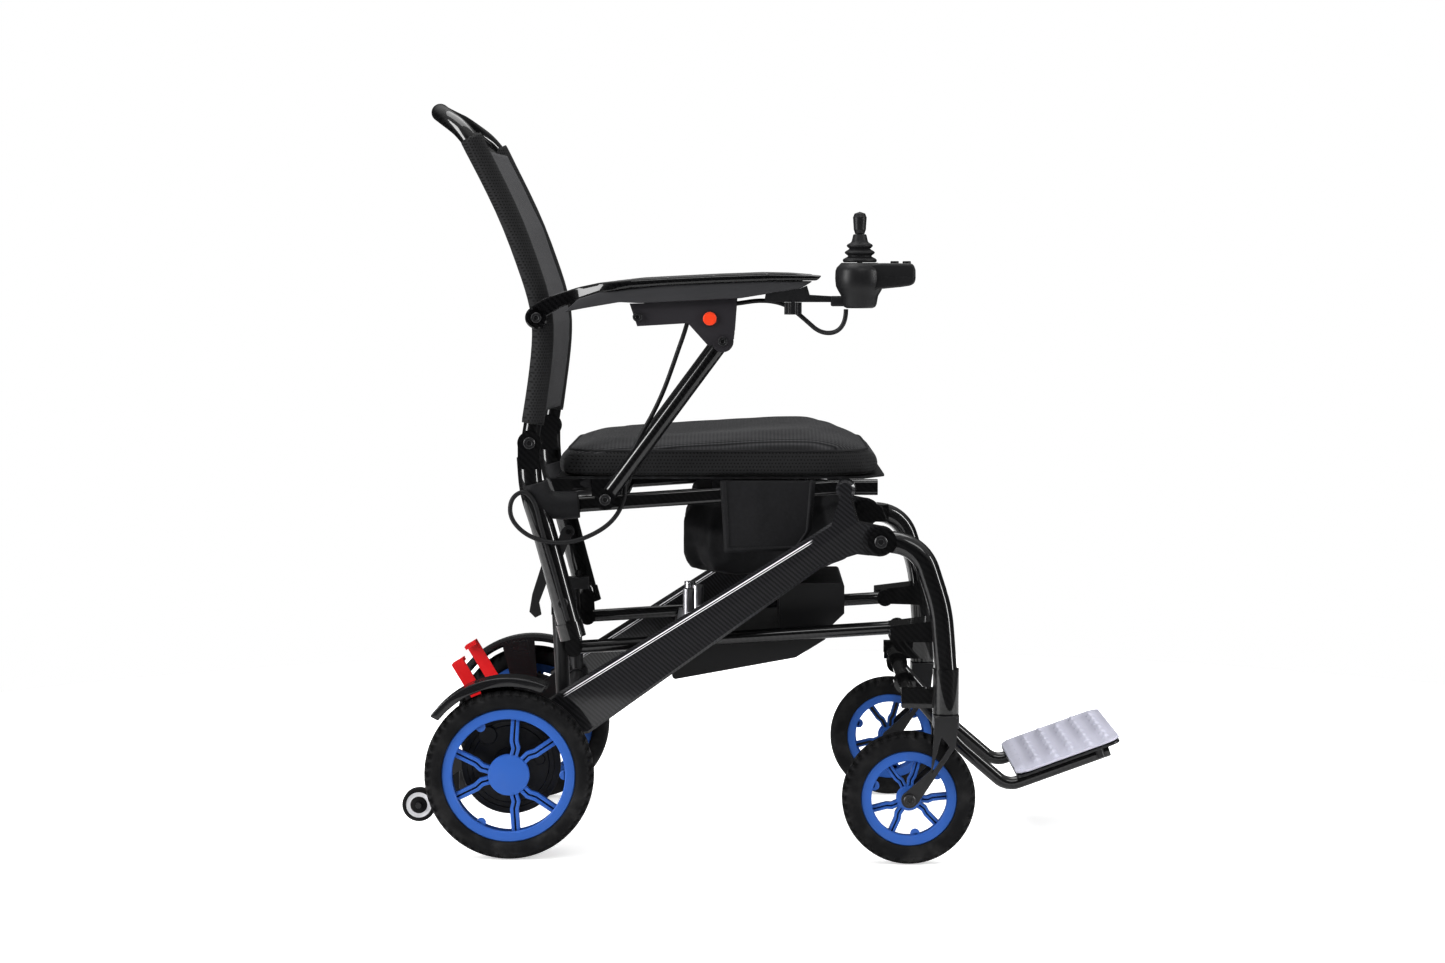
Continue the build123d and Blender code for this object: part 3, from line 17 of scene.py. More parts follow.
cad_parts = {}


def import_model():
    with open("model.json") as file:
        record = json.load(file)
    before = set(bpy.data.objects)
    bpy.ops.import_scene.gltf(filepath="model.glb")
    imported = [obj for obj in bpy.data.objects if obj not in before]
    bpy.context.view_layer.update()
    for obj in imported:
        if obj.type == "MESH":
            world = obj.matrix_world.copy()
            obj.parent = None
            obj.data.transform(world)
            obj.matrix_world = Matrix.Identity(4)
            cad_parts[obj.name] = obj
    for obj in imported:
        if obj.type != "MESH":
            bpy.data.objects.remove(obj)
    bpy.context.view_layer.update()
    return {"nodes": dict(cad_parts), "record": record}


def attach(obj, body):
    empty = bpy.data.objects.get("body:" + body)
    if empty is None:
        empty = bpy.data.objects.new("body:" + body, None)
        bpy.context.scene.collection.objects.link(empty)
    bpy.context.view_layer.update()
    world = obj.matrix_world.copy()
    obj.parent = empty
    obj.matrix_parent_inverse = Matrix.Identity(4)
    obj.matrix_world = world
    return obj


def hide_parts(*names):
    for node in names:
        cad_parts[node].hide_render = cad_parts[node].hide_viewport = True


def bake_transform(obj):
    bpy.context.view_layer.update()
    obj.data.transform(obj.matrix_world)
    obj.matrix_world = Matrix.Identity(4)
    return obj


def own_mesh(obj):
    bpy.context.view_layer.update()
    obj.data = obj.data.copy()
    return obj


LOG = logging.getLogger("wheelchair")
MM = 0.001
Point = tuple[float, float, float]
Socket = bpy.types.NodeSocket


class Side(Enum):
    """The rider's left or right, with the sign of Y there."""

    LEFT = 1
    RIGHT = -1

    @property
    def tag(self) -> str:
        """The word that piece names end with."""
        return self.name.lower()


class Pattern(Enum):
    """What the surface of a finish is made of."""

    MOULDED = "moulded"
    TWILL = "twill"
    RIBBED = "ribbed"
    PERFORATED = "perforated"
    OPEN_MESH = "open mesh"
    NYLON = "nylon"
    RUBBER = "rubber"
    CAST = "cast"


# ---------------------------------------------------------------------------------------------
# Shader graphs
# ---------------------------------------------------------------------------------------------
class Graph:
    """A node tree with short calls for the nodes that the finishes use."""

    def __init__(self, tree: bpy.types.NodeTree) -> None:
        """Keeps the tree that the nodes go into."""
        self.tree = tree

    def node(self, kind: str, **settings: object) -> bpy.types.Node:
        """Adds one node and sets its own settings.

        Args:
            kind: Blender's name for the node.
            settings: The node's settings by name.

        Returns:
            The node.
        """
        made = self.tree.nodes.new(kind)
        for name, value in settings.items():
            setattr(made, name, value)
        return made

    def feed(self, socket: Socket, value: object) -> None:
        """Links a socket to an input, or sets the input to a plain value.

        Args:
            socket: The input to fill.
            value: What goes in.
        """
        if isinstance(value, bpy.types.NodeSocket):
            self.tree.links.new(value, socket)
        else:
            socket.default_value = value

    def math(self, operation: str, *values: object) -> Socket:
        """Adds a Math node.

        Args:
            operation: Blender's name for the sum.
            values: Its inputs, sockets or numbers.

        Returns:
            The result's socket.
        """
        made = self.node("ShaderNodeMath", operation=operation)
        for socket, value in zip(made.inputs, values):
            self.feed(socket, value)
        return made.outputs[0]

    def band(self, value: Socket, low: object, high: object) -> Socket:
        """A soft step from 0 at low to 1 at high.

        Args:
            value: What goes in.
            low: Where the result starts.
            high: Where the result ends.

        Returns:
            The result's socket.
        """
        made = self.node("ShaderNodeMapRange", interpolation_type="SMOOTHSTEP")
        self.feed(made.inputs["Value"], value)
        self.feed(made.inputs["From Min"], low)
        self.feed(made.inputs["From Max"], high)
        return made.outputs["Result"]

    def span(self, value: Socket, low: float, high: float) -> Socket:
        """Maps 0 to 1 onto low to high.

        Args:
            value: What goes in.
            low: Where the result starts.
            high: Where the result ends.

        Returns:
            The result's socket.
        """
        made = self.node("ShaderNodeMapRange")
        self.feed(made.inputs["Value"], value)
        made.inputs["To Min"].default_value = low
        made.inputs["To Max"].default_value = high
        return made.outputs["Result"]

    def blend(self, share: object, first: object, second: object) -> Socket:
        """Mixes two colours.

        Args:
            share: The share of the second, from 0 to 1.
            first: The first colour.
            second: The second colour.

        Returns:
            The mixed colour.
        """
        made = self.node("ShaderNodeMix", data_type="RGBA")
        self.feed(made.inputs[0], share)
        self.feed(made.inputs[6], first)
        self.feed(made.inputs[7], second)
        return made.outputs[2]

    def noise(self, where: Socket, scale: object, detail: float = 4.0) -> Socket:
        """A noise value at a place.

        Args:
            where: The place.
            scale: The noise's scale.
            detail: Its layers of detail.

        Returns:
            The noise's socket.
        """
        made = self.node("ShaderNodeTexNoise")
        self.feed(made.inputs["Vector"], where)
        self.feed(made.inputs["Scale"], scale)
        made.inputs["Detail"].default_value = detail
        return made.outputs[0]

    def place(self) -> Socket:
        """The Object coordinates, which are the chair's frame in metres."""
        return self.node("ShaderNodeTexCoord").outputs["Object"]

    def axes(self, where: Socket) -> tuple[Socket, Socket, Socket]:
        """The three parts of a place.

        Args:
            where: The place.

        Returns:
            The sockets of X, Y and Z.
        """
        made = self.node("ShaderNodeSeparateXYZ")
        self.feed(made.inputs[0], where)
        return made.outputs[0], made.outputs[1], made.outputs[2]

    def bump(self, height: Socket, strength: float, depth: float, normal: Socket | None = None) -> Socket:
        """A normal from a height.

        Args:
            height: The height, from 0 to 1.
            strength: How much of it shows.
            depth: Its full depth in metres.
            normal: A normal that it is laid over.

        Returns:
            The bumped normal.
        """
        made = self.node("ShaderNodeBump")
        made.inputs["Strength"].default_value = strength
        made.inputs["Distance"].default_value = depth
        self.feed(made.inputs["Height"], height)
        if normal is not None:
            self.feed(made.inputs["Normal"], normal)
        return made.outputs[0]


class Effects:
    """The node groups that several finishes share, each built once."""

    def __init__(self) -> None:
        """Builds every group."""
        self.grain = self._build("surface_grain", {"Scale": 900.0}, ["Fine", "Cloud"], self._grain)
        self.wear = self._build("edge_wear", {"Radius": 0.0015, "Amount": 0.5}, ["Mask"], self._wear)
        self.dust = self._build("settled_dust", {"Amount": 0.3}, ["Mask"], self._dust)
        self.twill = self._build("carbon_twill", {"Pitch": 0.0028}, ["Tone", "Height"], self._twill)
        self.weave = self._build("thread_weave", {"Pitch": 0.001}, ["Tone", "Height"], self._weave)

    @staticmethod
    def _build(name: str, inputs: dict[str, float], outputs: list[str],
               draw: Callable[[Graph, dict[str, Socket]], list[Socket]]) -> bpy.types.NodeTree:
        """Makes a group with named float sockets.

        Args:
            name: The group's name.
            inputs: Its inputs and their usual values.
            outputs: The names of its outputs.
            draw: Adds the nodes and returns the sockets for the outputs.

        Returns:
            The finished group.
        """
        tree = bpy.data.node_groups.new(name, "ShaderNodeTree")
        for title, value in inputs.items():
            made = tree.interface.new_socket(title, in_out="INPUT", socket_type="NodeSocketFloat")
            made.default_value = value
        for title in outputs:
            tree.interface.new_socket(title, in_out="OUTPUT", socket_type="NodeSocketFloat")
        graph = Graph(tree)
        entry, leave = graph.node("NodeGroupInput"), graph.node("NodeGroupOutput")
        results = draw(graph, {title: entry.outputs[title] for title in inputs})
        for title, socket in zip(outputs, results):
            graph.feed(leave.inputs[title], socket)
        return tree

    @staticmethod
    def _grain(g: Graph, given: dict[str, Socket]) -> list[Socket]:
        """Fine moulding grain, and slow clouds for uneven gloss."""
        where = g.place()
        return [g.noise(where, given["Scale"], 3.0), g.noise(where, 14.0, 5.0)]

    @staticmethod
    def _wear(g: Graph, given: dict[str, Socket]) -> list[Socket]:
        """Rubbed edges, where the rounded normal leaves the true one.

        Args:
            g: The graph that the nodes go into.
            given: The group's inputs by name.

        Returns:
            The mask.
        """
        rounded = g.node("ShaderNodeBevel", samples=4)
        g.feed(rounded.inputs["Radius"], given["Radius"])
        true = g.node("ShaderNodeNewGeometry").outputs["Normal"]
        dot = g.node("ShaderNodeVectorMath", operation="DOT_PRODUCT")
        g.feed(dot.inputs[0], rounded.outputs[0])
        g.feed(dot.inputs[1], true)
        edge = g.band(g.math("SUBTRACT", 1.0, dot.outputs["Value"]), 0.02, 0.2)
        rubbed = g.band(g.noise(g.place(), 160.0, 6.0), 0.4, 0.65)
        return [g.math("MULTIPLY", g.math("MULTIPLY", edge, rubbed), given["Amount"])]

    @staticmethod
    def _dust(g: Graph, given: dict[str, Socket]) -> list[Socket]:
        """Dust in patches, more of it near the floor.

        Args:
            g: The graph that the nodes go into.
            given: The group's inputs by name.

        Returns:
            The mask.
        """
        where = g.place()
        height = g.axes(where)[2]
        low = g.math("SUBTRACT", 1.0, g.band(height, 0.0, 0.35))
        patches = g.band(g.noise(where, 38.0, 7.0), 0.42, 0.75)
        return [g.math("MULTIPLY", g.math("MULTIPLY", patches, low), given["Amount"])]

    @staticmethod
    def _twill(g: Graph, given: dict[str, Socket]) -> list[Socket]:
        """Two-by-two twill on the chair's side view: diagonal ribs of alternate tows.

        Args:
            g: The graph that the nodes go into.
            given: The group's inputs by name.

        Returns:
            The tone and the height.
        """
        x, y, z = g.axes(g.place())
        across = g.math("DIVIDE", g.math("ADD", x, g.math("MULTIPLY", y, 0.7)), given["Pitch"])
        up = g.math("DIVIDE", g.math("ADD", z, g.math("MULTIPLY", y, 0.7)), given["Pitch"])
        step = g.math("ADD", g.math("FLOOR", across), g.math("FLOOR", up))
        over = g.math("LESS_THAN", g.math("FLOORED_MODULO", step, 4.0), 2.0)
        warp = g.math("PINGPONG", across, 0.5)
        weft = g.math("PINGPONG", up, 0.5)
        tow = g.math("ADD", g.math("MULTIPLY", over, warp),
                     g.math("MULTIPLY", g.math("SUBTRACT", 1.0, over), weft))
        return [over, g.math("MULTIPLY", tow, 2.0)]

    @staticmethod
    def _weave(g: Graph, given: dict[str, Socket]) -> list[Socket]:
        """Crossing threads, seen from any side.

        Args:
            g: The graph that the nodes go into.
            given: The group's inputs by name.

        Returns:
            The tone and the height.
        """
        x, y, z = g.axes(g.place())
        slanted = g.math("ADD", z, g.math("MULTIPLY", y, 0.31))
        across = g.math("PINGPONG", g.math("DIVIDE", g.math("ADD", x, g.math("MULTIPLY", y, 0.8)),
                                           given["Pitch"]), 0.5)
        up = g.math("PINGPONG", g.math("DIVIDE", slanted, given["Pitch"]), 0.5)
        thread = g.math("MULTIPLY", g.math("MAXIMUM", across, up), 2.0)
        return [g.noise(g.place(), 260.0, 4.0), thread]


@dataclass(frozen=True)
class Finish:
    """One finish of the chair: its colours, gloss and the pattern of its surface."""

    name: str
    colour: Point
    second: Point
    pattern: Pattern
    rough: float
    rough_spread: float = 0.08
    metallic: float = 0.0
    coat: float = 0.0
    coat_rough: float = 0.03
    specular: float = 0.28
    sheen: float = 0.0
    pitch: float = 1.0
    relief: float = 0.05
    wear: float = 0.0
    dust: float = 0.0
    # True for the beam, whose colour gets a painted highlight along its top edge.
    edge_highlight: bool = False


class Paintshop:
    """Turns finishes into materials."""

    WORN = (0.32, 0.32, 0.34, 1.0)
    DUST = (0.20, 0.195, 0.19, 1.0)
    # The white of the painted highlight along the beam's top edge.
    LINE = (0.85, 0.85, 0.87, 1.0)

    def __init__(self) -> None:
        """Builds the shared effects."""
        self.effects = Effects()
        self.made: dict[str, bpy.types.Material] = {}

    def get(self, finish: Finish) -> bpy.types.Material:
        """The material of a finish, built the first time it is asked for.

        Args:
            finish: The finish.

        Returns:
            The material.
        """
        if finish.name not in self.made:
            self.made[finish.name] = self._build(finish)
        return self.made[finish.name]

    def _group(self, g: Graph, tree: bpy.types.NodeTree, **values: float) -> bpy.types.Node:
        """Places a shared effect with its own values.

        Args:
            g: The graph that the nodes go into.
            tree: The shared group.
            values: The group's inputs by name.

        Returns:
            The placed group.
        """
        made = g.node("ShaderNodeGroup")
        made.node_tree = tree
        for name, value in values.items():
            made.inputs[name].default_value = value
        return made

    def _pattern(self, g: Graph, f: Finish) -> tuple[Socket, Socket, float]:
        """The tone and height of a finish's pattern.

        Args:
            g: The material's graph.
            f: The finish.

        Returns:
            A tone from 0 to 1, a height from 0 to 1, and the height's depth in metres.
        """
        if f.pattern is Pattern.TWILL:
            weave = self._group(g, self.effects.twill, Pitch=f.pitch * MM)
            return weave.outputs["Tone"], weave.outputs["Height"], f.relief * MM
        if f.pattern in (Pattern.NYLON, Pattern.OPEN_MESH):
            weave = self._group(g, self.effects.weave, Pitch=f.pitch * MM)
            tone = weave.outputs["Height"] if f.pattern is Pattern.OPEN_MESH else weave.outputs["Tone"]
            return tone, weave.outputs["Height"], f.relief * MM
        x, y, z = g.axes(g.place())
        if f.pattern is Pattern.RIBBED:
            rib = g.math("MULTIPLY", g.math("PINGPONG", g.math("DIVIDE", y, f.pitch * MM), 0.5), 2.0)
            knit = g.math("MULTIPLY", g.math("PINGPONG", g.math("DIVIDE", x, f.pitch * MM * 1.6), 0.5), 2.0)
            height = g.math("MULTIPLY", rib, g.span(knit, 0.55, 1.0))
            return height, height, f.relief * MM
        if f.pattern is Pattern.PERFORATED:
            around = g.math("ADD", x, g.math("MULTIPLY", y, 0.9))
            row = g.math("FLOOR", g.math("DIVIDE", z, f.pitch * MM))
            shift = g.math("MULTIPLY", g.math("FLOORED_MODULO", row, 2.0), 0.5)
            column = g.math("ADD", g.math("DIVIDE", around, f.pitch * MM), shift)
            u = g.math("SUBTRACT", g.math("FRACT", column), 0.5)
            v = g.math("SUBTRACT", g.math("FRACT", g.math("DIVIDE", z, f.pitch * MM)), 0.5)
            far = g.math("SQRT", g.math("ADD", g.math("MULTIPLY", u, u), g.math("MULTIPLY", v, v)))
            skin = g.band(far, 0.2, 0.3)
            return skin, skin, f.relief * MM
        scale = {Pattern.MOULDED: 1500.0, Pattern.RUBBER: 700.0, Pattern.CAST: 420.0}[f.pattern]
        grain = self._group(g, self.effects.grain, Scale=scale / f.pitch)
        return grain.outputs["Cloud"], grain.outputs["Fine"], f.relief * MM

    def _stripes(self, g: Graph) -> tuple[Socket, Socket]:
        """The beam's painted highlight, two thin white lines along its top edge, and the fall of its lower
        facet.

        Args:
            g: The graph that the nodes go into.

        Returns:
            The painted highlight's mask, and how far the facet has fallen: 0 at its edge, negative metres
            below it.
        """
        x, _, z = g.axes(g.place())
        top = g.math("SUBTRACT", g.math("MULTIPLY", g.math("ADD", x, 0.287), 0.5367),
                     g.math("MULTIPLY", g.math("SUBTRACT", z, 0.216), 0.8438))
        highlight_mask = g.math("ADD", self._line(g, top, 0.0052, 0.0006), self._line(g, top, 0.0080, 0.00035))
        ahead = g.math("SUBTRACT", 1.0, g.band(x, 0.055, 0.062))
        behind = g.band(x, -0.276, -0.270)
        low = g.math("SUBTRACT", g.math("MULTIPLY", g.math("ADD", x, 0.252), 0.561),
                     g.math("MULTIPLY", g.math("SUBTRACT", z, 0.203), 0.8275))
        facet = g.math("MULTIPLY", g.math("MAXIMUM", low, 0.0), -1.0)
        return g.math("MULTIPLY", g.math("MULTIPLY", highlight_mask, ahead), behind), facet

    @staticmethod
    def _line(g: Graph, distance: Socket, at: float, half: float) -> Socket:
        """1 within half of a distance, softly 0 outside."""
        off = g.math("ABSOLUTE", g.math("SUBTRACT", distance, at))
        return g.math("SUBTRACT", 1.0, g.band(off, half, half * 1.6))

    def _build(self, f: Finish) -> bpy.types.Material:
        """Makes one material.

        Args:
            f: The finish.

        Returns:
            Its material.
        """
        made = bpy.data.materials.new(f.name)
        made.use_nodes = True
        made.node_tree.nodes.clear()
        g = Graph(made.node_tree)
        shader = g.node("ShaderNodeBsdfPrincipled")
        g.feed(g.node("ShaderNodeOutputMaterial").inputs[0], shader.outputs[0])
        tone, height, depth = self._pattern(g, f)
        clouds = self._group(g, self.effects.grain, Scale=900.0)
        colour = g.blend(tone, (*f.colour, 1.0), (*f.second, 1.0))
        rough = g.span(clouds.outputs["Cloud"], f.rough - f.rough_spread, f.rough + f.rough_spread)
        normal = g.bump(height, 1.0, depth)
        if f.edge_highlight:
            highlight_mask, facet = self._stripes(g)
            # Painted highlight: two thin white lines along the beam's top edge are mixed into the colour.
            colour = g.blend(highlight_mask, colour, self.LINE)
            normal = g.bump(facet, 1.0, 0.45, normal)
        if f.wear:
            rubbed = self._group(g, self.effects.wear, Amount=f.wear).outputs["Mask"]
            colour = g.blend(rubbed, colour, self.WORN)
            rough = g.math("ADD", rough, g.math("MULTIPLY", rubbed, 0.25))
        if f.dust:
            settled = self._group(g, self.effects.dust, Amount=f.dust).outputs["Mask"]
            colour = g.blend(settled, colour, self.DUST)
            rough = g.math("ADD", rough, g.math("MULTIPLY", settled, 0.2))
        g.feed(shader.inputs["Base Color"], colour)
        g.feed(shader.inputs["Roughness"], g.math("MINIMUM", rough, 1.0))
        g.feed(shader.inputs["Normal"], normal)
        shader.inputs["Metallic"].default_value = f.metallic
        shader.inputs["Specular IOR Level"].default_value = f.specular
        shader.inputs["Coat Weight"].default_value = f.coat
        shader.inputs["Coat Roughness"].default_value = f.coat_rough
        shader.inputs["Sheen Weight"].default_value = f.sheen
        shader.inputs["Sheen Roughness"].default_value = 0.4
        made.diffuse_color = (*f.colour, 1.0)
        return made


# The beam's finish carries a painted highlight along its top edge.
BEAM = Finish("beam_twill", (0.008, 0.008, 0.009), (0.022, 0.022, 0.025), Pattern.TWILL, 0.4,
              specular=0.15, coat=1.0, coat_rough=0.06, pitch=1.7, relief=0.06, edge_highlight=True)
TUBE = Finish("gloss_tube", (0.002, 0.002, 0.0025), (0.006, 0.006, 0.0065), Pattern.TWILL, 0.35,
              specular=0.15, coat=1.0, coat_rough=0.015, pitch=2.2, relief=0.012)
ARM_GLOSS = Finish("arm_gloss", (0.002, 0.002, 0.0025), (0.005, 0.005, 0.0055), Pattern.TWILL, 0.35,
                   specular=0.1, coat=0.9, coat_rough=0.02, pitch=2.2, relief=0.01)
ARM_MATT = Finish("arm_underside", (0.035, 0.035, 0.038), (0.05, 0.05, 0.053), Pattern.MOULDED, 0.6)
SATIN = Finish("satin_black", (0.010, 0.010, 0.011), (0.018, 0.018, 0.019), Pattern.MOULDED, 0.38, wear=0.25,
               coat=0.25, coat_rough=0.2)
MOTOR = Finish("motor_black", (0.012, 0.012, 0.013), (0.022, 0.022, 0.024), Pattern.CAST, 0.42, metallic=0.2,
               relief=0.12, wear=0.2, dust=0.1)
PLASTIC = Finish("black_plastic", (0.010, 0.010, 0.011), (0.019, 0.019, 0.020), Pattern.MOULDED, 0.4,
                 relief=0.04, wear=0.08)
FENDER = Finish("fender_black", (0.008, 0.008, 0.009), (0.016, 0.016, 0.017), Pattern.MOULDED, 0.25,
                coat=0.4, coat_rough=0.15)
CHARCOAL = Finish("charcoal_plastic", (0.022, 0.020, 0.024), (0.032, 0.030, 0.034), Pattern.MOULDED, 0.5,
                  relief=0.05, wear=0.1)
BLUE = Finish("wheel_blue", (0.028, 0.105, 0.36), (0.036, 0.125, 0.42), Pattern.MOULDED, 0.42, relief=0.03,
              wear=0.1, dust=0.05)
TYRE = Finish("tyre_rubber", (0.004, 0.004, 0.0045), (0.010, 0.010, 0.011), Pattern.RUBBER, 0.6,
              specular=0.14, relief=0.10, dust=0.10)
WHITE = Finish("small_wheel_white", (0.62, 0.62, 0.64), (0.72, 0.72, 0.74), Pattern.MOULDED, 0.45, dust=0.35)
RED = Finish("lever_red", (0.60, 0.010, 0.014), (0.72, 0.018, 0.022), Pattern.MOULDED, 0.4, coat=0.3,
             coat_rough=0.2, wear=0.12)
ORANGE = Finish("button_orange", (0.72, 0.060, 0.018), (0.82, 0.080, 0.026), Pattern.MOULDED, 0.38)
SILVER = Finish("connector_silver", (0.50, 0.50, 0.53), (0.66, 0.66, 0.69), Pattern.CAST, 0.3, metallic=0.9)
FOOT = Finish("foot_white", (0.50, 0.50, 0.58), (0.56, 0.56, 0.64), Pattern.MOULDED, 0.5, dust=0.05)
SEAT = Finish("seat_ribbed", (0.008, 0.008, 0.009), (0.075, 0.075, 0.078), Pattern.RIBBED, 0.82,
              specular=0.2, sheen=0.06, pitch=3.2, relief=0.5)
BAND = Finish("seat_band", (0.002, 0.002, 0.002), (0.018, 0.018, 0.019), Pattern.PERFORATED, 0.7,
              specular=0.2, sheen=0.06, pitch=4.6, relief=0.5)
PIPING = Finish("piping", (0.008, 0.008, 0.009), (0.015, 0.015, 0.016), Pattern.NYLON, 0.6, pitch=1.2,
                relief=0.1)
MESH = Finish("back_mesh", (0.010, 0.010, 0.011), (0.10, 0.10, 0.104), Pattern.OPEN_MESH, 0.8,
              specular=0.2, sheen=0.06, pitch=3.0, relief=0.5)
SLEEVE = Finish("back_sleeve", (0.003, 0.003, 0.003), (0.020, 0.020, 0.021), Pattern.PERFORATED, 0.72,
                specular=0.2, sheen=0.05, pitch=4.0, relief=0.4)
NYLON = Finish("bag_nylon", (0.007, 0.007, 0.008), (0.016, 0.016, 0.018), Pattern.NYLON, 0.55,
               specular=0.2, sheen=0.06, pitch=0.9, relief=0.12)
BOOT = Finish("boot_rubber", (0.009, 0.009, 0.010), (0.016, 0.016, 0.017), Pattern.RUBBER, 0.5, relief=0.04)
CABLE = Finish("cable_black", (0.008, 0.008, 0.009), (0.014, 0.014, 0.015), Pattern.RUBBER, 0.45, relief=0.03)

SLOT_FINISH = {
    "twill_carbon": BEAM, "gloss_black_tube": TUBE, "armrest_gloss": ARM_GLOSS, "satin_black_metal": SATIN,
    "motor_black": MOTOR, "satin_black_plastic": PLASTIC, "charcoal_plastic": CHARCOAL, "wheel_blue": BLUE,
    "tyre_rubber": TYRE, "antitip_white": WHITE, "lever_red": RED, "button_orange": ORANGE,
    "connector_silver": SILVER, "foot_white": FOOT, "seat_fabric": SEAT, "back_mesh": MESH,
    "bag_nylon": NYLON, "boot_rubber": BOOT, "cable_black": CABLE}


# ---------------------------------------------------------------------------------------------
# The bench: common mesh work
# ---------------------------------------------------------------------------------------------
class Bench:
    """Makes meshes from outlines and profiles, and puts finished pieces on the chair."""

    def __init__(self, paint: Paintshop) -> None:
        """Keeps the paintshop that dresses the pieces."""
        self.paint = paint

    @staticmethod
    def slab(bm: bmesh.types.BMesh, outline: Sequence[tuple[float, float]], y0: float, y1: float,
             edge: float = 0.0, segments: int = 2) -> None:
        """Extrudes an outline of the side view across the chair.

        Args:
            bm: The mesh that it goes into.
            outline: Points (x, z) in millimetres.
            y0: Where the slab starts.
            y1: Where it ends.
            edge: The rounding of its edges.
            segments: The steps of the rounding.
        """
        verts = [bm.verts.new((x * MM, y0 * MM, z * MM)) for x, z in outline]
        face = bm.faces.new(verts)
        grown = bmesh.ops.extrude_face_region(bm, geom=[face])["geom"]
        moved = [v for v in grown if isinstance(v, bmesh.types.BMVert)]
        bmesh.ops.translate(bm, verts=moved, vec=(0, (y1 - y0) * MM, 0))
        made = set(verts) | set(moved)
        if edge:
            edges = [e for e in bm.edges if e.verts[0] in made and e.verts[1] in made]
            bmesh.ops.bevel(bm, geom=edges, offset=edge * MM, offset_type="OFFSET", affect="EDGES",
                            segments=segments, profile=0.5, material=-1, clamp_overlap=True)

    @staticmethod
    def turned(bm: bmesh.types.BMesh, profile: Sequence[tuple[float, float]], centre: Point, axis: Point,
               steps: int = 48, closed: bool = False) -> None:
        """Spins a profile all the way round an axis.

        Args:
            bm: The mesh that it goes into.
            profile: Points (radius, along) in millimetres.
            centre: A point of the axis.
            axis: Its direction.
            steps: The steps of the turn.
            closed: True if the profile is a ring rather than a line.
        """
        along = Vector(axis).normalized()
        out = along.orthogonal().normalized()
        place = Vector(centre)
        before = set(bm.verts)
        verts = [bm.verts.new((place + out * r + along * a) * MM) for r, a in profile]
        pairs = list(zip(verts, verts[1:])) + ([(verts[-1], verts[0])] if closed else [])
        edges = [bm.edges.new(pair) for pair in pairs]
        bmesh.ops.spin(bm, geom=verts + edges, cent=place * MM, axis=along, angle=math.tau, steps=steps,
                       use_merge=True)
        made = [v for v in bm.verts if v not in before]
        bmesh.ops.remove_doubles(bm, verts=made, dist=1e-6)

    @staticmethod
    def grid(bm: bmesh.types.BMesh, columns: int, rows: int,
             shape: Callable[[float, float], Point]) -> list[bmesh.types.BMFace]:
        """A grid bent to a shape.

        Args:
            bm: The mesh that it goes into.
            columns: Its cells one way.
            rows: Its cells the other way.
            shape: Gives the place in millimetres for two shares from -1 to 1.

        Returns:
            The grid's faces.
        """
        made = bmesh.ops.create_grid(bm, x_segments=columns, y_segments=rows, size=1.0)["verts"]
        faces = list({f for v in made for f in v.link_faces})
        for v in made:
            v.co = Vector(shape(v.co.x, v.co.y)) * MM
        return faces

    def finish(self, bm: bmesh.types.BMesh, name: str, body: str, looks: Sequence[Finish], slot: str,
               replaces: Iterable[str] = (), sharp: float = 35.0, tidy: bool = True) -> bpy.types.Object:
        """Makes the mesh an object, dresses it and puts it on its body.

        Args:
            bm: The finished mesh.
            name: The piece's name.
            body: The CAD body that it rides on, or nothing to leave it unattached.
            looks: Its finishes, in the order of its faces' material numbers.
            slot: The record's material slot; not used.
            replaces: The CAD nodes that it stands for.
            sharp: Edges over this many degrees stay sharp.
            tidy: True to merge doubles and turn the faces outwards.

        Returns:
            The piece.
        """
        if tidy:
            bmesh.ops.remove_doubles(bm, verts=bm.verts, dist=1e-6)
            bmesh.ops.recalc_face_normals(bm, faces=bm.faces)
        mesh = bpy.data.meshes.new(name)
        bm.to_mesh(mesh)
        bm.free()
        piece = bpy.data.objects.new(name, mesh)
        bpy.context.scene.collection.objects.link(piece)
        return self.dress(piece, body, looks, replaces, sharp)

    def dress(self, piece: bpy.types.Object, body: str, looks: Sequence[Finish],
              replaces: Iterable[str] = (), sharp: float = 35.0) -> bpy.types.Object:
        """Gives a placed object its finishes and body, and reports it.

        Args:
            piece: The piece.
            body: The CAD body, or nothing for a blend.
            looks: Its finishes in the order of its faces' numbers.
            replaces: The CAD nodes that it stands for.
            sharp: Edges over this many degrees stay sharp.

        Returns:
            The piece.
        """
        for look in looks:
            piece.data.materials.append(self.paint.get(look))
        if piece.type == "MESH":
            piece.data.polygons.foreach_set("use_smooth", [True] * len(piece.data.polygons))
            piece.data.set_sharp_from_angle(angle=math.radians(sharp))
        if body:
            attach(piece, body)
        if replaces:
            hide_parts(*replaces)
        LOG.info("%s on %s", piece.name, body or "a blend")
        return piece

    @staticmethod
    def mirror(bm: bmesh.types.BMesh) -> None:
        """Turns a left-hand mesh into the right-hand one."""
        bmesh.ops.scale(bm, vec=(1, -1, 1), verts=bm.verts)
        bmesh.ops.reverse_faces(bm, faces=bm.faces)

    @staticmethod
    def subdivide(piece: bpy.types.Object, levels: int) -> None:
        """Adds a subdivision surface with the same levels on screen and in the render."""
        made = piece.modifiers.new("smooth", "SUBSURF")
        made.levels = made.render_levels = levels

    @staticmethod
    def thicken(piece: bpy.types.Object, thickness: float) -> None:
        """Gives a sheet its thickness in millimetres, half to each side.

        Args:
            piece: The piece.
            thickness: The thickness in millimetres.
        """
        made = piece.modifiers.new("thickness", "SOLIDIFY")
        made.thickness = thickness * MM
        made.offset = 0.0


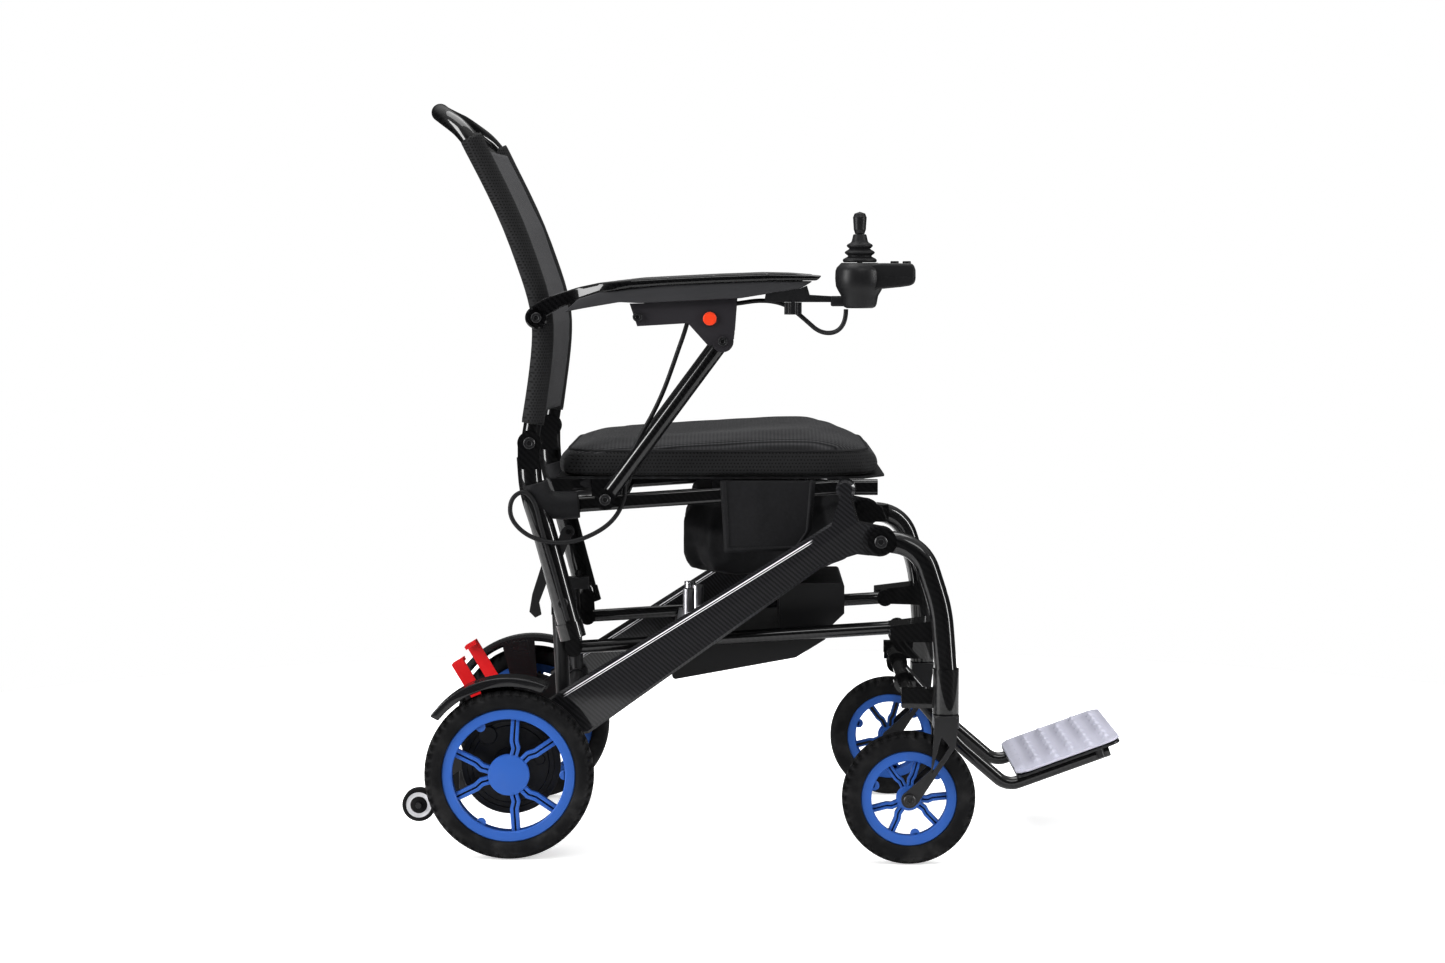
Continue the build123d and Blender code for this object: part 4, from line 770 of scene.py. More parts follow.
def interpolate(points: Sequence[tuple[float, float]], x: float) -> float:
    """The height of a line of (x, z) points at x, held level past its ends.

    Args:
        points: The line, in order of x.
        x: Where the height is wanted.

    Returns:
        The height there.
    """
    if x <= points[0][0]:
        return points[0][1]
    for (x0, z0), (x1, z1) in zip(points, points[1:]):
        if x <= x1:
            share = (x - x0) / (x1 - x0)
            return z0 + (z1 - z0) * share
    return points[-1][1]


def strip(path: Sequence[Vector], width: float) -> list[tuple[float, float]]:
    """The outline of a flat strip along a path of side-view points.

    Args:
        path: Points (x, z) in millimetres.
        width: The strip's width.

    Returns:
        The outline, both edges in turn.
    """
    left, right = [], []
    for i, p in enumerate(path):
        before = (p - path[i - 1]).normalized() if i else (path[1] - p).normalized()
        after = (path[i + 1] - p).normalized() if i + 1 < len(path) else before
        along = (before + after).normalized()
        across = Vector((-along.y, along.x)) * (width / 2 / max(0.5, along.dot(before)))
        left.append(p + across)
        right.append(p - across)
    return [(p.x, p.y) for p in left + right[::-1]]


# ---------------------------------------------------------------------------------------------
# Wheels
# ---------------------------------------------------------------------------------------------
@dataclass
class Wheel:
    """A spoked wheel with its tyre; the outboard face carries the detail."""

    kind: str
    x: float
    z: float
    y: float
    outer: float
    rim: float
    rim_in: float
    hub: float
    tyre_w: float
    rim_w: float
    first: float
    spoke_w: float
    bore: float
    lugs: int
    capped: bool
    pairs: int = 3
    hub_turn: float = 15.0
    kink_turn: float = 21.0
    rim_turn: float = 23.0
    set_back: float = 4.4

    def build(self, bench: Bench, side: Side) -> None:
        """Makes the rim and the tyre of one side."""
        self._rim(bench, side)
        self._tyre(bench, side)

    def _polar(self, r: float, angle: float) -> Vector:
        """A side-view point from the wheel's centre."""
        t = math.radians(angle)
        return Vector((self.x + r * math.cos(t), self.z + r * math.sin(t)))

    def _rim(self, bench: Bench, side: Side) -> None:
        """The rim's flange, the kinked and grooved spokes, the tabs and the hub.

        Args:
            bench: The bench that makes and dresses the pieces.
            side: The chair's side.
        """
        bm = bmesh.new()
        y0, y1 = self.y - self.rim_w / 2, self.y + self.rim_w / 2
        centre, axis = (self.x, 0.0, self.z), (0.0, 1.0, 0.0)
        ring = [(self.rim, y0 + 1), (self.rim, y1 - 1.4), (self.rim - 1.4, y1), (self.rim_in - 0.6, y1),
                (self.rim_in - 2.0, y1 - 1.4), (self.rim_in - 2.0, y1 - 5), (self.rim_in + 0.8, y1 - 8),
                (self.rim_in + 2.4, self.y), (self.rim_in + 1.2, y0 + 6), (self.rim_in, y0 + 1),
                (self.rim - 1, y0)]
        bench.turned(bm, ring, centre, axis, 96, closed=True)
        face_y = y1 - self.set_back
        cap = ([(0.0, face_y + 2.2), (0.0, face_y + 1.0), (self.bore, face_y + 1.0)] if self.capped
               else [(self.bore, face_y + 2.0)])
        hub = [(self.bore, face_y - 11), (self.hub * 0.8, face_y - 11), (self.hub * 0.8, face_y - 7),
               (self.hub, face_y - 6), (self.hub, face_y - 0.6), (self.hub - 0.9, face_y + 0.9),
               (self.hub * 0.7, face_y + 1.6), (self.hub * 0.35, face_y + 2.0), *cap]
        bench.turned(bm, hub, centre, axis, 48, closed=True)
        for pair in range(self.pairs):
            middle = self.first + 360 / self.pairs * pair
            for way in (-1, 1):
                path = [self._polar(self.hub * 0.8, middle + way * self.hub_turn),
                        self._polar(0.48 * self.rim_in, middle + way * self.hub_turn),
                        self._polar(0.60 * self.rim_in, middle + way * self.kink_turn),
                        self._polar(self.rim_in + 1.5, middle + way * self.rim_turn)]
                for offset in (-1, 1):
                    self._bar(bench, bm, path, offset, face_y)
                # A black floor under each spoke's groove: painted shade at the bottom of the groove.
                done = len(bm.faces)
                bench.slab(bm, strip(path, self.spoke_w * 0.4), face_y - 12, face_y - 9, 0.4, 1)
                bm.faces.ensure_lookup_table()
                for f in bm.faces[done:]:
                    f.material_index = 1
            between = middle + 180 / self.pairs
            tab = self._polar(self.rim_in - 3.2, between)
            bench.turned(bm, [(0.0, face_y - 5), (6.4, face_y - 5), (6.6, face_y - 0.7), (5.8, face_y),
                              (0.0, face_y)], (tab.x, 0, tab.y), axis, 20)
            root = [self._polar(r, between + turn) for r, turn in
                    ((self.rim_in + 1, -5), (self.rim_in - 4.5, -4),
                     (self.rim_in - 4.5, 4), (self.rim_in + 1, 5))]
            bench.slab(bm, [(p.x, p.y) for p in root], face_y - 5, face_y, 0.5, 1)
        if side is Side.RIGHT:
            bench.mirror(bm)
        bench.finish(bm, f"{self.kind}_wheel_{side.tag}", f"{self.body}_{side.tag}", [BLUE, PLASTIC],
                     "wheel_blue", [f"{self.kind}_rim_{side.tag}"], 32)

    def _bar(self, bench: Bench, bm: bmesh.types.BMesh, path: Sequence[Vector], offset: int,
             face_y: float) -> None:
        """One of the two raised edges of a spoke.

        Args:
            bench: The bench that makes and dresses the pieces.
            bm: The mesh being worked on.
            path: Points (x, z) in millimetres.
            offset: 1 or -1, for one edge of the spoke or the other.
            face_y: The wheel's face.
        """
        edge_w = self.spoke_w * 0.40
        moved = strip(path, self.spoke_w - edge_w)
        count = len(path)
        line = moved[:count] if offset > 0 else moved[count:][::-1]
        bench.slab(bm, strip([Vector(p) for p in line], edge_w), face_y - 11, face_y, 0.7, 2)

    @property
    def body(self) -> str:
        """The body that the wheel turns with."""
        return "drive_wheel" if self.kind == "drive" else "caster_wheel"

    def _tyre(self, bench: Bench, side: Side) -> None:
        """The tyre: a rounded section with a groove down the tread and notches in both shoulders.

        Args:
            bench: The bench that makes and dresses the pieces.
            side: The chair's side.
        """
        bm = bmesh.new()
        half = self.tyre_w / 2
        top = self.outer
        section = [(self.rim, -half * 0.80), (self.rim + 3, -half * 0.93), (self.rim + 9, -half),
                   (top - 11, -half * 0.985), (top - 6.5, -half * 0.92), (top - 3.0, -half * 0.78),
                   (top - 0.8, -half * 0.55), (top, -half * 0.16), (top - 1.6, -half * 0.10)]
        section += [(r, -a) for r, a in reversed(section)]
        steps = self.lugs * 3
        bench.turned(bm, [(r, a + self.y) for r, a in section], (self.x, 0, self.z), (0, 1, 0), steps, True)
        axis_point = Vector((self.x, 0, self.z)) * MM
        cut = []
        for f in bm.faces:
            c = f.calc_center_median() - axis_point
            r, aside = math.hypot(c.x, c.z) / MM, abs(c.y / MM - self.y)
            turn = math.degrees(math.atan2(c.z, c.x)) % 360
            late = 1 if c.y / MM > self.y else 0
            index = int(turn / 360 * steps + 1e-3) + late
            if index % 3 == 0 and r > top - 8.5 and aside > half * 0.34:
                cut.append(f)
        sunk = bmesh.ops.extrude_face_region(bm, geom=cut)["geom"]
        for v in (g for g in sunk if isinstance(g, bmesh.types.BMVert)):
            c = v.co - axis_point
            r = math.hypot(c.x, c.z)
            factor = (r - 1.7 * MM) / r
            v.co = axis_point + Vector((c.x * factor, c.y, c.z * factor))
            v.co.y -= math.copysign(1.1 * MM, c.y - self.y * MM)
        if side is Side.RIGHT:
            bench.mirror(bm)
        bench.finish(bm, f"{self.kind}_tread_{side.tag}", f"{self.body}_{side.tag}", [TYRE], "tyre_rubber",
                     [f"{self.kind}_tyre_{side.tag}"], 50)


@dataclass
class Motors:
    """The two gear motors, with cooling rings, an outboard cover and its screws."""

    x: float = -346.6
    z: float = 114.3
    radius: float = 48.5
    inner: float = 103.0
    outer: float = 206.0
    axle: float = 6.0
    axle_end: float = 254.0
    screws: int = 6

    def build(self, bench: Bench) -> None:
        """Makes both motors.

        Args:
            bench: The bench that makes and dresses the pieces.
        """
        for side in Side:
            bm = bmesh.new()
            centre, axis = (self.x, 0.0, self.z), (0.0, 1.0, 0.0)
            r = self.radius
            rings = []
            for k in range(9):
                a = 126 + k * 3.4
                rings += [(r, a), (r, a + 1.9), (r - 1.6, a + 2.2), (r - 1.6, a + 3.1)]
            body = [(0, self.inner), (9.2, self.inner), (10, self.inner + 1), (10, 115), (r - 4, 115),
                    (r - 1, 116.4), (r, 119), *rings, (r, 158), (r, 199), (r - 1, 203.5), (r - 4, 206),
                    (r - 9, self.outer), (r - 10.4, self.outer - 1.8), (r - 15, self.outer - 1.8),
                    (r - 16.6, self.outer + 2.2), (18, self.outer + 3.2), (14, self.outer + 3.6),
                    (13.4, self.outer + 9.4), (12.6, self.outer + 10), (self.axle, self.outer + 10),
                    (self.axle, self.axle_end - 1), (self.axle - 1, self.axle_end), (0, self.axle_end)]
            bench.turned(bm, body, centre, axis, 64)
            for k in range(self.screws):
                t = math.radians(30 + 60 * k)
                spot = (self.x + (r - 6.4) * math.cos(t), 0.0, self.z + (r - 6.4) * math.sin(t))
                head = [(0, self.outer + 0.8), (1.4, self.outer + 0.8), (1.6, self.outer + 2.4),
                        (3.0, self.outer + 2.8), (3.6, self.outer + 2.2), (3.6, self.outer - 2)]
                bench.turned(bm, head, spot, axis, 12)
            cover = [(self.axle + 2, 209), (50, 209), (66, 209.4), (68, 211), (68, 213.6), (66.4, 215.4),
                     (60, 216), (58.6, 214.4), (53, 214.4), (51.6, 216), (24, 217), (22, 215.4),
                     (self.axle + 2, 215.4)]
            middle = (self.x, 0.0, self.z + 9.0)
            bench.turned(bm, cover, middle, axis, 64)
            for turn, far, wide in ((128, 50, 13), (250, 36, 9), (10, 40, 8), (305, 47, 7)):
                t = math.radians(turn)
                spot = (middle[0] + far * math.cos(t), 0.0, middle[2] + far * math.sin(t))
                bench.turned(bm, [(0, 218.4), (wide - 1.6, 218.4), (wide, 217), (wide, 212)], spot, axis, 28)
            pad = [(-344, 136), (-322, 128), (-312, 112), (-318, 96), (-330, 92), (-326, 108), (-334, 122)]
            bench.slab(bm, pad, self.outer, self.outer + 5, 1.6, 2)
            bench.slab(bm, [(-422, 79), (-378, 79), (-378, 105), (-422, 105)], 139.6, 159.6, 2.0, 2)
            if side is Side.RIGHT:
                bench.mirror(bm)
            bench.finish(bm, f"gear_motor_{side.tag}", "chassis", [MOTOR], "motor_black",
                         ["gear_motors"] if side is Side.LEFT else [], 30)


@dataclass
class AntiTipWheels:
    """The two small rear wheels: a black tyre, a white ring and a black hub."""

    x: float = -477.5
    z: float = 57.3
    y0: float = 142.0
    y1: float = 162.0

    def build(self, bench: Bench) -> None:
        """Makes both wheels.

        Args:
            bench: The bench that makes and dresses the pieces.
        """
        a, b = self.y0, self.y1
        rings = ((0, [(17.6, a + 2), (19, a + 1), (22, a + 1.6), (23, a + 4), (23, b - 4), (22, b - 1.6),
                      (19, b - 1), (17.6, b - 2)]),
                 (1, [(11.6, a + 2.6), (17.8, a + 2.2), (17.8, b - 2.2), (11.6, b - 2.6)]),
                 (0, [(3.2, a + 1.4), (10.4, a + 1.4), (11.8, a + 3), (11.8, b - 3), (10.4, b - 1.4),
                      (3.2, b - 1.4)]))
        for side in Side:
            bm = bmesh.new()
            for number, ring in rings:
                done = len(bm.faces)
                bench.turned(bm, ring, (self.x, 0, self.z), (0, 1, 0), 40, True)
                bm.faces.ensure_lookup_table()
                for f in bm.faces[done:]:
                    f.material_index = number
            if side is Side.RIGHT:
                bench.mirror(bm)
            bench.finish(bm, f"antitip_roller_{side.tag}", f"antitip_{side.tag}", [TYRE, WHITE],
                         "antitip_white", [f"antitip_wheel_{side.tag}"], 30)


@dataclass
class FenderLips:
    """The deep rounded outboard lip of each fender."""

    x: float = -346.6
    z: float = 114.3
    inner: float = 119.5
    outer: float = 132.0
    start: float = 67.0
    end: float = 143.0

    def build(self, bench: Bench) -> None:
        """Makes both lips.

        Args:
            bench: The bench that makes and dresses the pieces.
        """
        def arc(r: float, first: float, last: float) -> list[tuple[float, float]]:
            """Points of an arc from one angle to another."""
            turns = [math.radians(first + (last - first) * k / 30) for k in range(31)]
            return [(self.x + r * math.cos(t), self.z + r * math.sin(t)) for t in turns]

        outline = arc(self.outer, self.start, self.end) + arc(self.inner, self.end - 1, self.start + 1)
        for side in Side:
            bm = bmesh.new()
            bench.slab(bm, outline, 249.5, 257.5, 2.2, 3)
            if side is Side.RIGHT:
                bench.mirror(bm)
            bench.finish(bm, f"fender_lip_{side.tag}", "chassis", [FENDER], "satin_black_plastic", (), 40)


@dataclass
class Bolts:
    """Socket-headed caps over the hinge pins."""

    spots: list[tuple[str, str, float, float, float, float]] = field(default_factory=lambda: [
        ("arch_pivot", "front_frame", 151.7, 430.0, 266.5, 8.6),
        ("caster_axle", "caster_swivel", 189.4, 89.0, 303.0, 8.0),
        ("arm_pivot", "armrest", -307.0, 728.0, 253.0, 7.0),
        ("strut_foot", "seat_frame", -215.6, 486.0, 263.5, 7.6),
        ("post_pivot", "seat_frame", -318.0, 560.0, 239.0, 8.0),
        ("bracket_front", "armrest", -59.0, 697.0, 275.0, 6.2),
        ("bracket_rear", "armrest", -171.5, 729.5, 275.0, 6.2),
        ("latch_pin", "seat_frame", -274.0, 345.0, 239.0, 7.0)])

    def build(self, bench: Bench) -> None:
        """Makes every cap on both sides.

        Args:
            bench: The bench that makes and dresses the pieces.
        """
        for name, body, x, z, y, radius in self.spots:
            for side in Side:
                bm = bmesh.new()
                rise = 2.2
                head = [(0, y + 0.3), (radius * 0.42, y + 0.3), (radius * 0.46, y + rise - 0.3),
                        (radius * 0.52, y + rise), (radius * 0.86, y + rise), (radius, y + rise - 0.9),
                        (radius, y - 1.2)]
                bench.turned(bm, head, (x, 0, z), (0, 1, 0), 24)
                if side is Side.RIGHT:
                    bench.mirror(bm)
                full = f"{body}_{side.tag}" if body in ("caster_swivel", "armrest") else body
                bench.finish(bm, f"{name}_cap_{side.tag}", full, [SATIN], "satin_black_metal", sharp=30)


# ---------------------------------------------------------------------------------------------
# Seat
# ---------------------------------------------------------------------------------------------
@dataclass
class SeatCushion:
    """The padded seat: a crowned form, swollen by cloth simulation, with piping round its seam."""

    half: float = 210.0
    rear: float = -281.0
    front: float = 151.0
    floor: float = 513.6
    seam: float = 548.0
    top: tuple[tuple[float, float], ...] = ((-281, 549), (-262, 555), (-200, 559), (-121, 564), (-40, 569),
                                            (18, 572), (60, 572), (95, 567), (125, 557), (151, 540))
    voxel: float = 5.5
    cap: float = 6.0
    pressure: float = 4.0
    frames: int = 20
    smoothings: int = 8
    piping: float = 1.9
    piping_steps: int = 120

    def build(self, bench: Bench) -> None:
        """Makes the pad and its piping.

        Args:
            bench: The bench that makes and dresses the pieces.
        """
        pad = self._blank()
        self._swell(pad)
        self._crown(pad)
        self._dress(bench, pad)
        self._piping(bench)

    def _blank(self) -> bpy.types.Object:
        """A closed, rounded block for the pad.

        Returns:
            The block.
        """
        bm = bmesh.new()
        bmesh.ops.create_cube(bm, size=2.0)
        bmesh.ops.subdivide_edges(bm, edges=bm.edges, cuts=23, use_grid_fill=True)
        middle, length = (self.front + self.rear) / 2, (self.front - self.rear) / 2
        for v in bm.verts:
            u, w, h = v.co
            ahead = max(0.0, u)
            corner = max(0.0, abs(w) - 0.72) / 0.28 * max(0.0, abs(u) - 0.74) / 0.26
            pull = corner * (26 if u > 0 else 12)
            x = middle + length * u - math.copysign(pull, u) * 0.8
            y = self.half * w - math.copysign(pull, w) * 0.8
            z1 = interpolate(self.top, x)
            bulge = 3.0 * (1 - h * h)
            tuck = 5.0 * max(0.0, -h) ** 2
            x += math.copysign((bulge - tuck) * abs(u) ** 10, u)
            y += math.copysign((bulge - tuck) * abs(w) ** 10, w)
            z1 -= 9.0 * (abs(w) ** 14 + abs(u) ** 22 * (u < 0)) + 2.0 * ahead * abs(w) ** 4
            z = self.floor + (z1 - self.floor) * (h + 1) / 2
            v.co = Vector((x, y, z)) * MM
        bmesh.ops.recalc_face_normals(bm, faces=bm.faces)
        mesh = bpy.data.meshes.new("seat_pad")
        bm.to_mesh(mesh)
        bm.free()
        pad = bpy.data.objects.new("seat_pad", mesh)
        bpy.context.scene.collection.objects.link(pad)
        return pad

    def _swell(self, pad: bpy.types.Object) -> None:
        """Runs the cloth simulation on the pad and keeps its result, with each point's way capped.

        Args:
            pad: The cushion's pad.
        """
        remesh = pad.modifiers.new("even", "REMESH")
        remesh.mode, remesh.voxel_size = "VOXEL", self.voxel * MM
        self._apply(pad)
        rest = [v.co.copy() for v in pad.data.vertices]
        held = pad.vertex_groups.new(name="held")
        held.add([v.index for v in pad.data.vertices if v.co.z < (self.floor + 2.5) * MM], 1.0, "REPLACE")
        cloth = pad.modifiers.new("swell", "CLOTH")
        cloth.settings.use_pressure = True
        cloth.settings.uniform_pressure_force = self.pressure
        cloth.settings.vertex_group_mass = "held"
        cloth.settings.effector_weights.gravity = 0.0
        cloth.settings.tension_stiffness = 20.0
        cloth.settings.bending_stiffness = 0.8
        for number in range(1, self.frames + 1):
            bpy.context.scene.frame_set(number)
        self._apply(pad)
        bpy.context.scene.frame_set(1)
        for v, start in zip(pad.data.vertices, rest):
            way = v.co - start
            out = max(0.0, way.dot(v.normal))
            v.co = start + v.normal * min(out, self.cap * MM)
        bm = bmesh.new()
        bm.from_mesh(pad.data)
        for _ in range(self.smoothings):
            bmesh.ops.smooth_vert(bm, verts=bm.verts, factor=0.5, use_axis_x=True, use_axis_y=True,
                                  use_axis_z=True)
        bm.to_mesh(pad.data)
        bm.free()

    @staticmethod
    def _apply(pad: bpy.types.Object) -> None:
        """Replaces the pad's mesh with what its modifiers make of it.

        Args:
            pad: The cushion's pad.
        """
        graph = bpy.context.evaluated_depsgraph_get()
        made = bpy.data.meshes.new_from_object(pad.evaluated_get(graph))
        pad.modifiers.clear()
        pad.data = made

    def _crown(self, pad: bpy.types.Object) -> None:
        """Presses the seam in along the sides and keeps the pad above its pan.

        Args:
            pad: The cushion's pad.
        """
        for v in pad.data.vertices:
            x, y, z = v.co / MM
            z = max(z, self.floor)
            near = math.exp(-((z - self.seam) / 2.6) ** 2)
            ahead = abs(x - (self.front + self.rear) / 2) * 2 / (self.front - self.rear)
            edge = max(abs(y) / self.half, ahead)
            if edge > 0.9 and near > 0.02:
                y -= math.copysign(2.4 * near * max(0.0, abs(y) / self.half - 0.9) * 10, y)
            v.co = Vector((x, y, z)) * MM

    def _dress(self, bench: Bench, pad: bpy.types.Object) -> None:
        """Ribbed fabric above the seam and the perforated band below it.

        Args:
            bench: The bench that makes and dresses the pieces.
            pad: The cushion's pad.
        """
        bench.dress(pad, "seat_frame", [SEAT, BAND], ["seat_cushion"], 60)
        for p in pad.data.polygons:
            low = p.center.z < self.seam * MM
            p.material_index = 1 if low and p.normal.z < 0.75 else 0
        bench.subdivide(pad, 1)

    def _piping(self, bench: Bench) -> None:
        """A thin welt that follows the pad's seam.

        Args:
            bench: The bench that makes and dresses the pieces.
        """
        pad = bpy.data.objects["seat_pad"]
        bpy.context.view_layer.update()
        centre = Vector(((self.front + self.rear) / 2, 0, self.seam)) * MM
        curve = bpy.data.curves.new("seat_piping", "CURVE")
        curve.dimensions = "3D"
        curve.bevel_depth, curve.bevel_resolution = self.piping * MM, 3
        line = curve.splines.new("POLY")
        points = []
        for k in range(self.piping_steps):
            t = math.tau * k / self.piping_steps
            way = Vector((math.cos(t), math.sin(t), 0))
            hit, place, _, _ = pad.ray_cast(centre + way * 0.6, -way)
            if hit:
                points.append(place)
        line.points.add(len(points) - 1)
        for spot, place in zip(line.points, points):
            spot.co = (*place, 1.0)
        line.use_cyclic_u = True
        rope = bpy.data.objects.new("seat_piping_line", curve)
        mesh = bpy.data.meshes.new_from_object(rope)
        bpy.data.objects.remove(rope)
        piece = bpy.data.objects.new("seat_piping", mesh)
        bpy.context.scene.collection.objects.link(piece)
        bench.dress(piece, "seat_frame", [PIPING], (), 60)


@dataclass
class UnderSeatBag:
    """The nylon bag under the seat, with sagging sides, a hem and the two side flaps."""

    x0: float = -112.0
    x1: float = 120.0
    half: float = 160.0
    z0: float = 369.5
    z1: float = 486.5
    flap_y: float = 216.5
    flap_thick: float = 1.6
    flap: tuple[tuple[float, float], ...] = ((-63, 508), (66, 509), (60, 440), (40, 414), (-57, 410))

    def build(self, bench: Bench) -> None:
        """Makes the bag and its flaps.

        Args:
            bench: The bench that makes and dresses the pieces.
        """
        self._bag(bench)
        for side in Side:
            self._flap(bench, side)

    def _bag(self, bench: Bench) -> None:
        """A closed shell with folds that run down from its hung top.

        Args:
            bench: The bench that makes and dresses the pieces.
        """
        bm = bmesh.new()
        bmesh.ops.create_cube(bm, size=2.0)
        bmesh.ops.subdivide_edges(bm, edges=bm.edges, cuts=39, use_grid_fill=True)
        middle, length = (self.x0 + self.x1) / 2, (self.x1 - self.x0) / 2
        for v in bm.verts:
            u, w, h = v.co
            level = (h + 1) / 2
            round_off = 1 - 0.16 * max(0.0, abs(u) - 0.7) / 0.3 * max(0.0, abs(w) - 0.8) / 0.2
            belly = 0.90 + 0.10 * math.sin(math.pi * min(1.0, level * 1.15 + 0.05))
            x = middle + length * u * belly * round_off
            y = self.half * w * belly * round_off
            floor_z = self.z0 + 9 * (abs(u) ** 3) + 14 * max(0.0, u) ** 2 + 7 * abs(w) ** 4
            z = floor_z + (self.z1 - floor_z) * level
            outer = max(abs(u), abs(w)) ** 8
            place = Vector((x / 34, y / 34, z / 95))
            folds = noise.noise(place) * 7 + noise.noise(place * 2.7 + Vector((3, 1, 7))) * 3.2
            creases = noise.noise(Vector((x / 60, y / 60, z / 17))) * 3.6 * (1 - level * 0.5)
            push = (folds + creases - 3.0) * outer * (1.15 - abs(h) ** 6)
            x += math.copysign(push * abs(u) ** 6, u)
            y += math.copysign(push * abs(w) ** 6, w)
            z += (noise.noise(place * 1.6) * 4.0) * max(0.0, -h) ** 4
            x = min(self.x1 + 1.5, max(self.x0 - 1.5, x))
            z = min(self.z1, max(self.z0, z))
            v.co = Vector((x, y, z)) * MM
        piece = bench.finish(bm, "seat_bag", "seat_frame", [NYLON], "bag_nylon", ["under_seat_bag"], 80)
        bench.subdivide(piece, 1)
        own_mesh(piece)

    def _flap(self, bench: Bench, side: Side) -> None:
        """One hanging side flap and its hem.

        Args:
            bench: The bench that makes and dresses the pieces.
            side: The chair's side.
        """
        bm = bmesh.new()
        left = ((self.flap[0][0], self.flap[0][1]), (self.flap[4][0], self.flap[4][1]))
        right = ((self.flap[1][0], self.flap[1][1]), (self.flap[2][0], self.flap[2][1]),
                 (self.flap[3][0], self.flap[3][1]))

        def shape(u: float, w: float) -> Point:
            """The flap's place for two shares from -1 to 1.

            Args:
                u: The share across.
                w: The share along.

            Returns:
                The place in millimetres.
            """
            a, b = (u + 1) / 2, (1 - w) / 2
            xl = left[0][0] + (left[1][0] - left[0][0]) * b
            xr = (right[0][0] + (right[1][0] - right[0][0]) * b / 0.72 if b < 0.72
                  else right[1][0] + (right[2][0] - right[1][0]) * (b - 0.72) / 0.28)
            x = xl + (xr - xl) * a
            z = 508.5 + (411 + 3 * a - 508.5) * b
            sway = 1.8 * b * math.sin(a * 5.2 + 0.6)
            y = self.flap_y + sway + 1.6 * noise.noise(Vector((x / 26, z / 30, 2)))
            return x, max(y, self.flap_y - 0.4 + 1.2 * b), z

        bench.grid(bm, 40, 30, shape)
        if side is Side.RIGHT:
            bench.mirror(bm)
        piece = bench.finish(bm, f"bag_flap_{side.tag}", "seat_frame", [NYLON], "bag_nylon",
                             ["bag_flaps"] if side is Side.LEFT else [], 80, tidy=False)
        bench.thicken(piece, self.flap_thick)
        hem = self._hem(bench, side, shape)

    @staticmethod
    def _hem(bench: Bench, side: Side, shape: Callable[[float, float], Point]) -> bpy.types.Object:
        """The folded hem along the flap's sides and foot.

        Args:
            bench: The bench that makes and dresses the pieces.
            side: The chair's side.
            shape: Gives the flap's places.

        Returns:
            The hem.
        """
        bm = bmesh.new()
        edge = [(-0.97, 1 - 2 * k / 24) for k in range(25)]
        edge += [(-0.97 + 1.94 * k / 24, -0.97) for k in range(1, 25)]
        edge += [(0.97, -0.97 + 1.97 * k / 24) for k in range(1, 25)]
        inner = [(u * 0.90, max(-0.86, w)) for u, w in edge]
        out = [bm.verts.new((Vector(shape(u, w)) + Vector((0, 1.6, 0))) * MM) for u, w in edge]
        back = [bm.verts.new((Vector(shape(u, w)) + Vector((0, 1.6, 0))) * MM) for u, w in inner]
        edges = [bm.edges.new(p) for p in zip(out, out[1:])] + [bm.edges.new(p) for p in zip(back, back[1:])]
        bmesh.ops.bridge_loops(bm, edges=edges)
        if side is Side.RIGHT:
            bench.mirror(bm)
        piece = bench.finish(bm, f"bag_hem_{side.tag}", "seat_frame", [NYLON], "bag_nylon", sharp=80)
        bench.thicken(piece, 1.0)
        return piece


